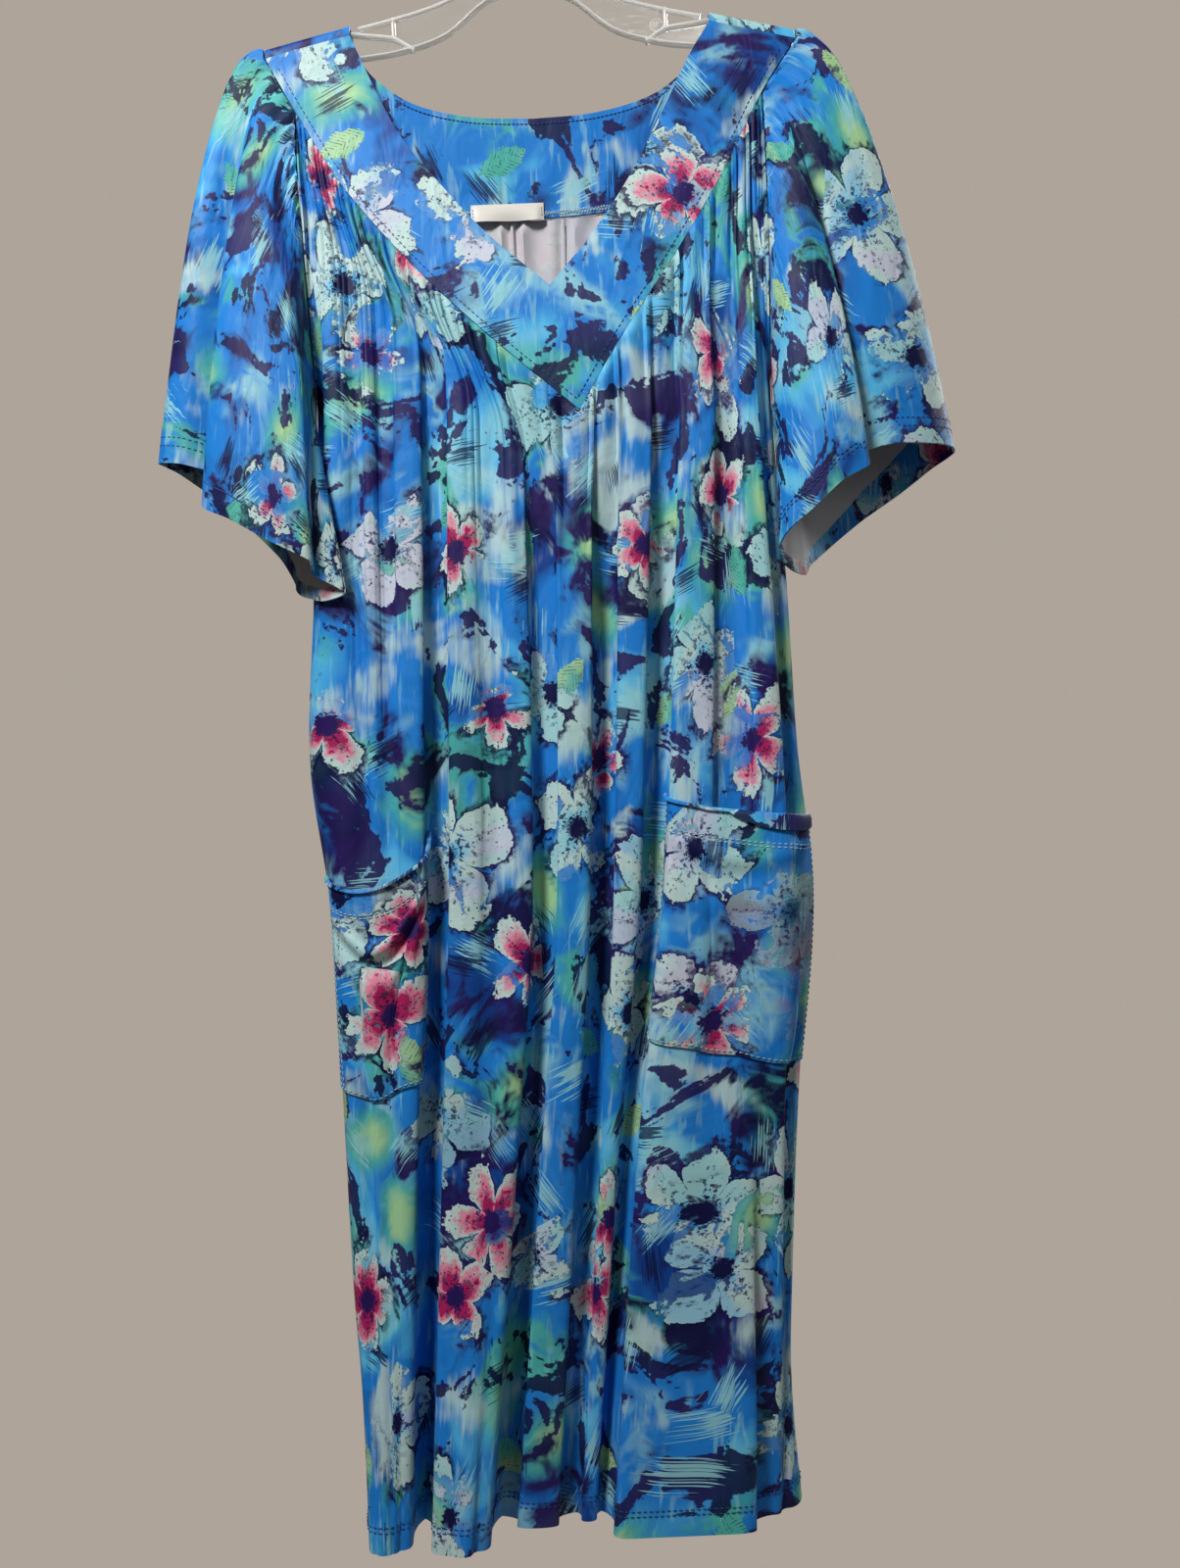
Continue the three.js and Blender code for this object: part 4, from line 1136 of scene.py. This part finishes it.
class DRESS_OT_stage(Operator):
    """Make the camera, the soft lights, the surround and the floor"""

    bl_idname = "dress.stage"
    bl_label = "Camera, lights and floor"

    def execute(self, context):
        scene, looks = context.scene, context.scene.dress_looks
        scene.view_settings.view_transform = "Standard"
        camera = bpy.data.objects.new("camera", bpy.data.cameras.new("camera"))
        camera.location = (0.0231, -0.95, height(567.8) * MM)
        camera.rotation_euler = (math.radians(90), math.radians(2.23), 0)
        camera.data.sensor_width = 36
        camera.data.lens = 29.36
        scene.collection.objects.link(camera)
        scene.camera = camera
        world = scene.world or bpy.data.worlds.new("surround")
        scene.world = world
        world.use_nodes = True
        tree = world.node_tree
        surround = next(n for n in tree.nodes if n.type == "BACKGROUND")
        surround.inputs["Color"].default_value = rgba(looks.surround)
        seen = tree.nodes.new("ShaderNodeLightPath")
        clear = tree.nodes.new("ShaderNodeMath")
        clear.operation = "MAXIMUM"
        tree.links.new(seen.outputs["Is Camera Ray"], clear.inputs[0])
        tree.links.new(seen.outputs["Is Transmission Ray"], clear.inputs[1])
        level = tree.nodes.new("ShaderNodeMapRange")
        level.inputs["To Min"].default_value = looks.ambient
        level.inputs["To Max"].default_value = 0.78
        tree.links.new(clear.outputs[0], level.inputs["Value"])
        tree.links.new(level.outputs[0], surround.inputs["Strength"])
        for name, place, aim, size, power in (
            ("key", (-0.75, -1.2, 0.75), (0, 0, -0.5), 0.5, 45),
            ("fill", (1.5, -1.9, 0.1), (0, 0, -0.6), 1.4, 4),
            ("rear", (0.7, 1.9, 0.8), (0, 0, -0.5), 0.9, 44),
            ("side", (1.9, 0.9, 0.3), (0, 0, -0.5), 0.9, 24),
        ):
            lamp = bpy.data.lights.new(name, "AREA")
            lamp.shape, lamp.size, lamp.energy = "DISK", size, power
            lamp.color = (1.0, 0.965, 0.92)
            holder = bpy.data.objects.new(name, lamp)
            holder.location = place
            holder.visible_camera = holder.visible_transmission = False
            holder.rotation_mode = "QUATERNION"
            holder.rotation_quaternion = (Vector(aim) - Vector(place)).to_track_quat("-Z", "Y")
            scene.collection.objects.link(holder)
        drop, n = -scene.dress_sizes.floor_drop, FLOOR_SIDES
        rim = [2 * math.pi * i / n for i in range(n)]
        top = [(FLOOR_RADIUS * math.cos(a), FLOOR_RADIUS * math.sin(a), drop) for a in rim]
        foot = [(1.01 * x, 1.01 * y, z - FLOOR_THICK) for x, y, z in top]
        faces = [tuple(range(n)), tuple(range(2 * n - 1, n - 1, -1))]
        faces += [(i, i + n, (i + 1) % n + n, (i + 1) % n) for i in range(n)]
        mesh = bpy.data.meshes.new("floor")
        mesh.from_pydata(top + foot, [], faces)
        mesh.materials.append(shared("pale_floor", floor_finish, looks))
        placed(mesh, "floor", 30)
        return {"FINISHED"}


class DRESS_OT_body(Operator):
    """Make the gathered front and back"""

    bl_idname = "dress.body"
    bl_label = "Front and back"

    def execute(self, context):
        piece = body_panel(context, "dress_front", front, 132, "front")
        piece = body_panel(context, "dress_back", back, 96, "back")
        return {"FINISHED"}


class DRESS_OT_yokes(Operator):
    """Make the V yoke, the back yoke and the facing inside it"""

    bl_idname = "dress.yokes"
    bl_label = "Yokes and facing"

    def execute(self, context):
        share = np.linspace(0, 2, 241)[:, None]
        across = np.linspace(0, 1, 25)[None]
        x, y, down = band_points(FRONT_YOKE_LEFT, FRONT_YOKE_RIGHT, yoke_front, share, across)
        soft = smooth(down / 60) * 0.5
        y = y - soft * ripple(x / 34, down / 34, 5) - 0.5 * np.sin(math.pi * across)
        points = np.stack([x, y, height(down)], -1)
        uv = np.stack([x, down], -1) + CUT_FROM["v_yoke"]
        print_only = sides_of_cloth(context)[:1]
        piece, normal = cloth_piece("v_yoke", points, uv, np.array([0, -1, 0]), print_only)
        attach(piece, "root")
        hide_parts("front_yoke")
        # Navy topstitch near the yoke's outer edge: real stitches, and their dark line is partly
        # painted shade of the seam.
        at = points.shape[1] - 3
        seam = (points[4:-4, at] + normal[4:-4, at] * 0.6, normal[4:-4, at])
        navy = shared("blue_thread", thread, SEWING_BLUE_AND_SEAM_SHADE)
        pitch = context.scene.dress_sizes.stitch_pitch / MM
        stitches = sewing("yoke_stitches", [seam], navy, "yoke_print", pitch=pitch, width=0.7)
        self.back_yoke(print_only)
        self.facing(print_only)
        return {"FINISHED"}

    def back_yoke(self, materials):
        """The back yoke, with the strips that roll over the hanger to the shoulder seams."""
        across = np.linspace(0, 1, 21)
        share = np.linspace(0, 2, 201)[1:-1, None]
        x, y, down = band_points(BACK_YOKE_LEFT, BACK_YOKE, yoke_back, share, across[None])
        grid, uv = [np.stack([x, y, height(down)], -1)], [np.stack([x, down], -1)]
        for sign in (-1, 1):
            edge = sign * lerp(NECK_HALF, SHOULDER_END, across)
            rows, places = [], []
            for angle in np.radians(np.linspace(-90, 90, 13)):
                below = ridge(edge) + ROLL * (1 - math.cos(angle))
                rows.append(
                    np.stack([edge, np.full_like(edge, ROLL * math.sin(angle)), height(below)], -1)
                )
                places.append(np.stack([edge, ridge(edge) + ROLL * angle], -1))
            straight = np.linspace(SEAM_FORWARD - SEAM_GAP - ROLL, 0, 3)[:-1]
            strip = [rows[0] - [0, 0, s] for s in straight]
            strip_uv = [places[0] - [0, s] for s in straight]
            rows, places = np.array(strip + rows), np.array(strip_uv + places)
            if sign < 0:
                grid.insert(0, rows)
                uv.insert(0, places)
            else:
                grid.append(rows[::-1])
                uv.append(places[::-1])
        points, uv = np.concatenate(grid), np.concatenate(uv) + CUT_FROM["back_yoke_outer"]
        piece, _ = cloth_piece("back_yoke_outer", points, uv, np.array([0, 1, 0]), materials)
        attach(piece, "root")
        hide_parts("back_yoke")

    def facing(self, materials):
        """The facing inside the back of the neck."""
        x = np.linspace(-FACING_HALF, FACING_HALF, 90)[:, None]
        w = np.linspace(0, 1, 27)[None]
        x, down = np.broadcast_arrays(x, lerp(back_edge(x, "in"), back_edge(x, "out"), w))
        y = yoke_back(x, down) - FACING_LIFT - 0.25 * ripple(x / 30, down / 22, 4)
        points = np.stack([x, y, height(down)], -1)
        uv = np.stack([x, down], -1) + CUT_FROM["neck_facing"]
        piece, _ = cloth_piece(
            "neck_facing", points, uv, np.array([0, -1, 0]), materials, FACING_THICK
        )
        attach(piece, "root")
        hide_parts("back_yoke_facing")


def back_edge(x, key):
    """How far down the back yoke's inner or outer edge lies."""
    rows = [{"at": -row[key + "X"], "down": row[key + "Down"]} for row in BACK_YOKE]
    return read(rows, "at", "down", -np.abs(x))


class DRESS_OT_sleeves(Operator):
    """Make the two short sleeves with their gathered heads and turned-up hems"""

    bl_idname = "dress.sleeves"
    bl_label = "Sleeves"

    def execute(self, context):
        sizes = context.scene.dress_sizes
        # The hem stitches' blue is darkened past the thread's own colour, as painted shade of the
        # seam line.
        thread_and_seam_shade = shared("blue_thread", thread, SEWING_BLUE_AND_SEAM_SHADE)
        for name, rows, sign in (
            ("sleeve_left", SLEEVE_LEFT, -1),
            ("sleeve_right", SLEEVE_RIGHT, 1),
        ):
            column = np.arange(len(rows) * 9) / 9
            t = np.linspace(0, 1, 97)
            points = sleeve_points(rows, sign, column[None], t[:, None])
            away = points - points.mean(1, keepdims=True)
            away /= np.linalg.norm(away, axis=-1, keepdims=True)
            part = t[:, None]
            creases = ripple(column[None] * 1.5 + 5 * part, 9 * part, 11 + sign, 9)
            creases = 1.1 * creases * smooth(part / 0.2) * smooth((1 - part) / 0.15)
            high = (points[:1, :, 2] - points[0, :, 2].min()) / np.ptp(points[0, :, 2])
            gathers = 2 * np.abs(np.cos(math.pi * 2.5 * column[None])) ** 0.8 - 1
            gathers = 1.5 * gathers * smooth(part / 0.03)
            gathers = gathers * np.exp(-part / 0.14) * smooth(2 * high - 0.5)
            points = points + away * (creases + gathers)[..., None]
            length = np.linalg.norm(np.diff(points, axis=0), axis=-1)
            downs = np.concatenate([np.zeros((1, len(column))), np.cumsum(length, 0)])
            hem_rows = int((downs[-1:].mean() - downs.mean(1) < sizes.hem_depth / MM).sum())
            thickness = np.full(points.shape[:2], sizes.cloth_thickness / MM)
            thickness[-hem_rows:] += 0.5
            start = -points[0, :, 2]
            uv = arc_uv(points, 60, downs + start - start.min(), CUT_FROM[name], wraps=True)
            middle = points.mean(1, keepdims=True)
            piece, normal = cloth_piece(
                name + "_cloth",
                points,
                uv,
                points - middle,
                sides_of_cloth(context),
                thickness,
                wraps=True,
                hem_rows=hem_rows,
            )
            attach(piece, "root")
            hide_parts(name)
            lines = []
            every = np.arange(len(column))
            for up in HEM_ROWS:
                row = np.abs(downs[-1] - downs - up).argmin(0)
                facing = normal[row, every]
                line = points[row, every] + facing * STITCH_LIFT
                lines.append(
                    (np.concatenate([line, line[:1]]), np.concatenate([facing, facing[:1]]))
                )
            pitch = sizes.stitch_pitch / MM
            stitches = sewing(name + "_stitches", lines, thread_and_seam_shade, "print", pitch=pitch)
        return {"FINISHED"}


class DRESS_OT_pockets(Operator):
    """Make the two patch pockets and their topstitching"""

    bl_idname = "dress.pockets"
    bl_label = "Pockets"

    def execute(self, context):
        sizes = context.scene.dress_sizes
        for shape in POCKETS:
            name = shape["name"]
            s = np.linspace(0, 1, 61)[None]
            w = np.linspace(0, 1, 71)[:, None]

            def edge(key):
                a, b, c = (shape[key + letter] for letter in "ABC")
                return lerp(a, c, s) + 4 * s * (1 - s) * (b - (a + c) / 2)

            downs = lerp(edge("mouth"), edge("bottom"), w)
            columns = lerp(shape["first"], shape["last"], s) + 0 * w
            opened = np.sin(math.pi * s ** shape["lean"]) ** 0.8 * (1 - w) ** 0.6
            lift = POCKET_LIFT + shape["sag"] * opened
            points, _ = on_panel(front, columns, downs, lift[..., None])
            points = self.taut(points, 1 - smooth(w[:, 0] / 0.9))
            left = shape["first"] < 5
            swag = lerp(0.12, 0.02, s) + (0.22 if left else 0.12) * np.sin(math.pi * s)
            for below, rise, spread in ((0, 3.6, 0.035), (0.075, -3.0, 0.045), (0.19, 1.8, 0.05)):
                fold = rise * np.exp(-(((w - swag - below) / spread) ** 2))
                points[..., 1] -= fold * np.sin(math.pi * s) ** 0.6 * (1 if left else 0.45)
            pleats = np.sin(2 * math.pi * s * 15) * smooth((s - 0.7) / 0.15)
            pleats = pleats * smooth((1 - s) / 0.05)
            points[..., 1] -= 1.3 * pleats * np.exp(-w / 0.22) * (1 if left else 0.5)
            uv = arc_uv(points, 40, downs, CUT_FROM[name])
            *_, normal = walled(points, 1, False, np.array([0, -1, 0]))
            lines = []
            for col in (2, 3, -3):
                lines.append((points[:, col] + normal[:, col] * STITCH_LIFT, normal[:, col]))
            for row in (8, 9, -2):
                lines.append((points[row] + normal[row] * STITCH_LIFT, normal[row]))
            turned = np.clip(np.sin(math.pi * (s[0] - 0.40) / 0.60), 0, 1) ** 0.7
            flap = 0.8 + (0 if left else 9.5) * turned
            rolled, rolled_uv = self.rolled_edge(points[0], normal[0], uv[0], flap)
            points = np.concatenate([rolled, points])[::-1]
            uv = np.concatenate([rolled_uv, uv])[::-1]
            piece, _ = cloth_piece(
                name + "_cloth",
                points,
                uv,
                np.array([0, -1, 0]),
                sides_of_cloth(context),
                sizes.cloth_thickness / MM,
                hem_rows=len(rolled) + 8,
            )
            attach(piece, "root")
            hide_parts(name)
            stitches = sewing(
                name + "_stitches",
                lines,
                shared("pale_thread", thread, SEWING_PALE),
                "pocket_print",
                pitch=sizes.stitch_pitch / MM,
            )
        return {"FINISHED"}

    def taut(self, points, share):
        """The rows drawn straight across the valleys of the folds behind them."""
        drawn = points.copy()
        for row, pull in zip(drawn, share):
            tops = []
            between = (row[:, 0] >= row[0, 0]) & (row[:, 0] <= row[-1, 0])
            for i in [i for i in np.argsort(row[:, 0], kind="stable") if between[i]]:
                while len(tops) > 1:
                    a, b, c = row[tops[-2]], row[tops[-1]], row[i]
                    if (b[0] - a[0]) * (c[1] - a[1]) - (b[1] - a[1]) * (c[0] - a[0]) > 0:
                        break
                    tops.pop()
                tops.append(i)
            line = row[tops, :2]
            steps = np.concatenate([[0], np.cumsum(np.linalg.norm(np.diff(line, axis=0), axis=1))])
            even = np.linspace(0, steps[-1], len(row))
            line = np.stack([np.interp(even, steps, line[:, k]) for k in (0, 1)], -1)
            for _ in range(6):
                line[1:-1] = (line[:-2] + 2 * line[1:-1] + line[2:]) / 4
            row[:, :2] = lerp(row[:, :2], line, pull)
        return drawn

    def rolled_edge(self, edge, normal, uv, flap):
        """The mouth's edge turned over to the front: rows from its free end up to the edge."""
        rows, places, radius = [], [], 0.9
        down = np.array([0, 0, -1.0])
        for share in (1, 0.75, 0.5, 0.25):
            rows.append(edge + normal * (2 * radius + 0.5) + down * (flap * share)[:, None])
            places.append(uv - np.stack([0 * flap, flap * share + 3], -1))
        for angle in np.radians((180, 135, 90, 45)):
            out, up = radius * (1 - math.cos(angle)), radius * math.sin(angle)
            rows.append(edge + normal * out - down * up)
            places.append(uv - [0, radius * angle])
        return np.array(rows), np.array(places)


class DRESS_OT_trim(Operator):
    """Make the bare label, the hem stitches and the overlocked edge inside the neck"""

    bl_idname = "dress.trim"
    bl_label = "Label and sewing"

    def execute(self, context):
        sizes, looks = context.scene.dress_sizes, context.scene.dress_looks
        x = np.linspace(LABEL_LEFT, LABEL_RIGHT, 40)[:, None]
        w = np.linspace(0, 1, 14)[None]
        down = lerp(LABEL_TOP, LABEL_BOTTOM, w) + 0 * x
        x = x + 0 * w
        lift = FACING_LIFT + FACING_THICK / 2 + SEAM_GAP + 0.25
        loose = smooth((x - LABEL_LEFT) / 5) * smooth((LABEL_RIGHT - x) / 5)
        curl = loose * (1.6 * w**1.5 * (0.5 + 0.5 * np.sin(x / 7 + 1)) + 0.5 * np.sin(math.pi * w))
        y = yoke_back(x, np.full_like(x, LABEL_TOP)) - lift - curl
        points = np.stack([x, y, height(down)], -1)
        vertices, quads, *_ = walled(points, LABEL_THICK, False, np.array([0, -1, 0]))
        mesh = bpy.data.meshes.new("bare_label")
        mesh.from_pydata((vertices * MM).tolist(), [], quads.tolist())
        mesh.materials.append(shared("label_ribbon", label_cloth, looks))
        piece = placed(mesh, "bare_label")
        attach(piece, "root")
        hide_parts("label")
        # Blue thread darkened as painted shade along the seams, used for the label, hem and neck
        # edge stitches.
        blue_and_seam_shade = shared("blue_thread", thread, SEWING_BLUE_AND_SEAM_SHADE)
        ends = []
        for col in (1, -2):
            bar = points[col, 2:-1] + np.array([0, -0.25, 0])
            ends.append((bar, np.tile([0.0, -1.0, 0.0], (len(bar), 1))))
        sewing(
            "label_stitches", ends, blue_and_seam_shade, "yoke_print", pitch=2.4, length=1.8, width=0.5, lift=0.2
        )
        for name, panel in (("front_hem_stitches", front), ("back_hem_stitches", back)):
            columns = np.linspace(0.06, panel.lines - 0.06, panel.lines * 24)
            lines = [on_panel(panel, columns, DRESS_LENGTH - up, 0.95) for up in HEM_ROWS]
            sewing(name, lines, blue_and_seam_shade, "print", pitch=sizes.stitch_pitch / MM)
        xs = np.arange(-112, 112, 1.1)
        zig = np.where(np.arange(len(xs)) % 2 == 0, -2.2, 2.2)
        downs = back_edge(xs, "out") - 3 + zig
        line = self.on_facing(xs, downs, 0.15)
        pale = shared("pale_thread", thread, SEWING_PALE)
        sewing(
            "neck_overlock", [line], pale, "yoke_print", pitch=2.2, length=2.1, width=0.75, lift=0.3
        )
        xs = np.arange(-104, 104, 2.0)
        line = self.on_facing(xs, back_edge(xs, "in") + 4, 0)
        sewing(
            "neck_edge_stitches", [line], blue_and_seam_shade, "yoke_print", pitch=3.2, length=2.8, lift=0.25
        )
        return {"FINISHED"}

    def on_facing(self, xs, downs, lift):
        """A line on the inside of the facing, and the way the facing looks there."""
        y = yoke_back(xs, downs) - FACING_LIFT - FACING_THICK / 2 - lift
        return np.stack([xs, y, height(downs)], -1), np.tile([0.0, -1.0, 0.0], (len(xs), 1))


def moulded_bar(name, path, half_height, half_width, sides=14):
    """A round-edged bar along a path in the hanger's plane; path points are x and down."""
    path = np.array(path, float)
    ends = [path[0] + (path[0] - path[1]) * 0.001, path[-1] + (path[-1] - path[-2]) * 0.001]
    path = np.concatenate([[ends[0]], path, [ends[1]]])
    thick = np.ones(len(path))
    thick[0] = thick[-1] = 0.55
    along = np.gradient(path, axis=0)
    along /= np.linalg.norm(along, axis=1, keepdims=True)
    angles = 2 * math.pi * np.arange(sides) / sides
    rings = []
    for (x, down), (tx, td), size in zip(path, along, thick):
        up, side = np.cos(angles) * half_height * size, np.sin(angles) * half_width * size
        rings.append(np.stack([x - td * up, side, height(down) - tx * up], -1))
    vertices = np.concatenate(rings) * MM
    faces = [tuple(range(sides)), tuple((len(rings) - 1) * sides + k for k in range(sides))[::-1]]
    for i in range(len(rings) - 1):
        for k in range(sides):
            a, b = i * sides + k, i * sides + (k + 1) % sides
            faces.append((a, a + sides, b + sides, b))
    return solid_part(name, vertices, faces)


def solid_part(name, vertices, faces):
    """A closed part with its faces turned outwards."""
    mesh = bpy.data.meshes.new(name)
    mesh.from_pydata([tuple(v) for v in vertices], [], faces)
    shape = bmesh.new()
    shape.from_mesh(mesh)
    bmesh.ops.recalc_face_normals(shape, faces=shape.faces)
    shape.to_mesh(mesh)
    shape.free()
    part = bpy.data.objects.new(name, mesh)
    bpy.context.scene.collection.objects.link(part)
    return part


def one_moulding(name, parts):
    """Closed parts joined into the skin of a single moulding."""
    base = parts[0]
    for part in parts[1:]:
        joint = base.modifiers.new("joint", "BOOLEAN")
        joint.operation, joint.solver, joint.object = "UNION", "MANIFOLD", part
    depsgraph = bpy.context.evaluated_depsgraph_get()
    mesh = bpy.data.meshes.new_from_object(base.evaluated_get(depsgraph))
    for part in parts:
        bpy.data.objects.remove(part)
    mesh.name = name
    return placed(mesh, name, 40)


# Middle of the rail from the strap notch to the tip, as x and down.
SHOULDER_RAIL = (
    (86, 19),
    (94, 13.5),
    (101, 9.5),
    (110, 8.2),
    (120, 7.2),
    (130, 5.6),
    (138, 5.2),
    (146, 6.1),
    (160, 9.4),
    (172, 12.3),
    (185, 15.4),
    (197, 18.4),
    (202, 20.2),
)


class DRESS_OT_hanger(Operator):
    """Make the clear moulded hanger with its rails, strap notches, web and hook"""

    bl_idname = "dress.hanger"
    bl_label = "Clear hanger"

    def execute(self, context):
        def edge(key, x):
            return read(ARM_ARCH, "x", key, np.abs(x))

        xs = np.linspace(-127, 127, 73)
        parts = [moulded_bar("top_rail", np.stack([xs, edge("top", xs) + 1.9], -1), 1.9, 2.4)]
        xs = np.linspace(-201, 201, 97)
        foot = np.stack([xs, edge("bottom", xs) - 1.7], -1)
        parts.append(moulded_bar("bottom_rail", foot, 1.6, 3.3))
        for sign in (-1, 1):
            bar = [(sign * x, down) for x, down in SHOULDER_RAIL]
            parts.append(moulded_bar("shoulder_rail", bar, 2.0, 3.3))
            post = [(sign * STRAP_POST, down) for down in (-6, 0, 9)]
            parts.append(moulded_bar("strap_post", post, 1.5, 2.2))
            tip = [(sign * 201.2, down) for down in (19.5, 26, 32.5)]
            parts.append(moulded_bar("tip", tip, 1.5, 2.6))
            xs = np.linspace(90, 200.5, 40)
            bar = np.array(SHOULDER_RAIL, float)
            top = np.interp(xs, bar[:, 0], bar[:, 1])
            parts.append(self.web("outer_web", sign * xs, top, edge("bottom", xs) - 1.7))
        xs = np.linspace(-96, 96, 65)
        parts.append(self.web("middle_web", xs, edge("top", xs) + 2, edge("bottom", xs) - 1.7))
        ring = [
            (94.5 + 4.6 * math.cos(a), 7.2 + 4.6 * math.sin(a)) for a in np.linspace(0, 5.9, 24)
        ]
        parts.append(moulded_bar("ring", ring, 0.9, 1.6, 10))
        parts.append(moulded_bar("collar", [(0, -66), (0, -60), (0, -50)], 5.2, 4.6, 24))
        centre = SEAT_TO_SHOULDER - HOOK_RADIUS + HOOK_ROD
        hook = [(0, -STEM_FOOT), (0, -STEM_FOOT - 8)]
        turns = np.radians(-60 + HOOK_ARC * np.linspace(0, 1, 40))
        arc = [(HOOK_RADIUS * math.cos(a), -(centre + HOOK_RADIUS * math.sin(a))) for a in turns]
        start, end, bend = np.array(hook[-1]), np.array(arc[0]), []
        for t in np.linspace(0.1, 0.9, 9):
            sway = 4 * math.sin(math.pi * t) * (t - 1) * 0.6
            bend.append(tuple(lerp(start, end, t) + [sway, 0]))
        parts.append(moulded_bar("hook", hook + bend + arc, HOOK_ROD, HOOK_ROD, 20))
        piece = one_moulding("clear_hanger", parts)
        looks = context.scene.dress_looks
        piece.data.materials.clear()
        for finish, clearness in (
            ("clear_rails", looks.rail_clearness),
            ("clear_plate", looks.plate_clearness),
        ):
            piece.data.materials.append(shared(finish, clear_plastic, looks, clearness))
        for face in piece.data.polygons:
            flat = abs(face.normal.y) > 0.9 and abs(face.center.y) < (HALF_WEB + 0.1) * MM
            face.material_index = int(flat)
        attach(piece, "root")
        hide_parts("hanger")
        return {"FINISHED"}

    def web(self, name, xs, top, bottom):
        """The thin clear plate between two rails."""
        vertices = [
            (x, side * HALF_WEB, height(down))
            for x, a, b in zip(xs, top, bottom)
            for side, down in ((-1, a), (1, a), (1, b), (-1, b))
        ]
        faces = [(0, 1, 2, 3), tuple(len(vertices) - 4 + k for k in (3, 2, 1, 0))]
        for i in range(len(xs) - 1):
            for k in range(4):
                a, b = 4 * i + k, 4 * i + (k + 1) % 4
                faces.append((a, a + 4, b + 4, b))
        return solid_part(name, np.array(vertices) * MM, faces)


class DRESS_PT_pieces(Panel):
    """Lists the pieces and what can be changed"""

    bl_idname = "DRESS_PT_pieces"
    bl_label = "House dress"
    bl_space_type = "VIEW_3D"
    bl_region_type = "UI"
    bl_category = "Dress"

    def draw(self, context):
        layout = self.layout
        for operator in OPERATORS:
            layout.operator(operator.bl_idname)
        for group in (context.scene.dress_sizes, context.scene.dress_looks):
            box = layout.box()
            for name in group.__annotations__:
                box.prop(group, name)


OPERATORS = (
    DRESS_OT_stage,
    DRESS_OT_body,
    DRESS_OT_yokes,
    DRESS_OT_sleeves,
    DRESS_OT_pockets,
    DRESS_OT_trim,
    DRESS_OT_hanger,
)
CLASSES = (DressSizes, DressLooks, *OPERATORS, DRESS_PT_pieces)


def register():
    for cls in CLASSES:
        bpy.utils.register_class(cls)
    bpy.types.Scene.dress_sizes = PointerProperty(type=DressSizes)
    bpy.types.Scene.dress_looks = PointerProperty(type=DressLooks)


def unregister():
    del bpy.types.Scene.dress_looks
    del bpy.types.Scene.dress_sizes
    for cls in reversed(CLASSES):
        bpy.utils.unregister_class(cls)


def main():
    register()
    bpy.ops.dress.stage()
    bpy.ops.dress.body()
    bpy.ops.dress.yokes()
    bpy.ops.dress.sleeves()
    bpy.ops.dress.pockets()
    bpy.ops.dress.trim()
    bpy.ops.dress.hanger()


if __name__ == "__main__":
    main()
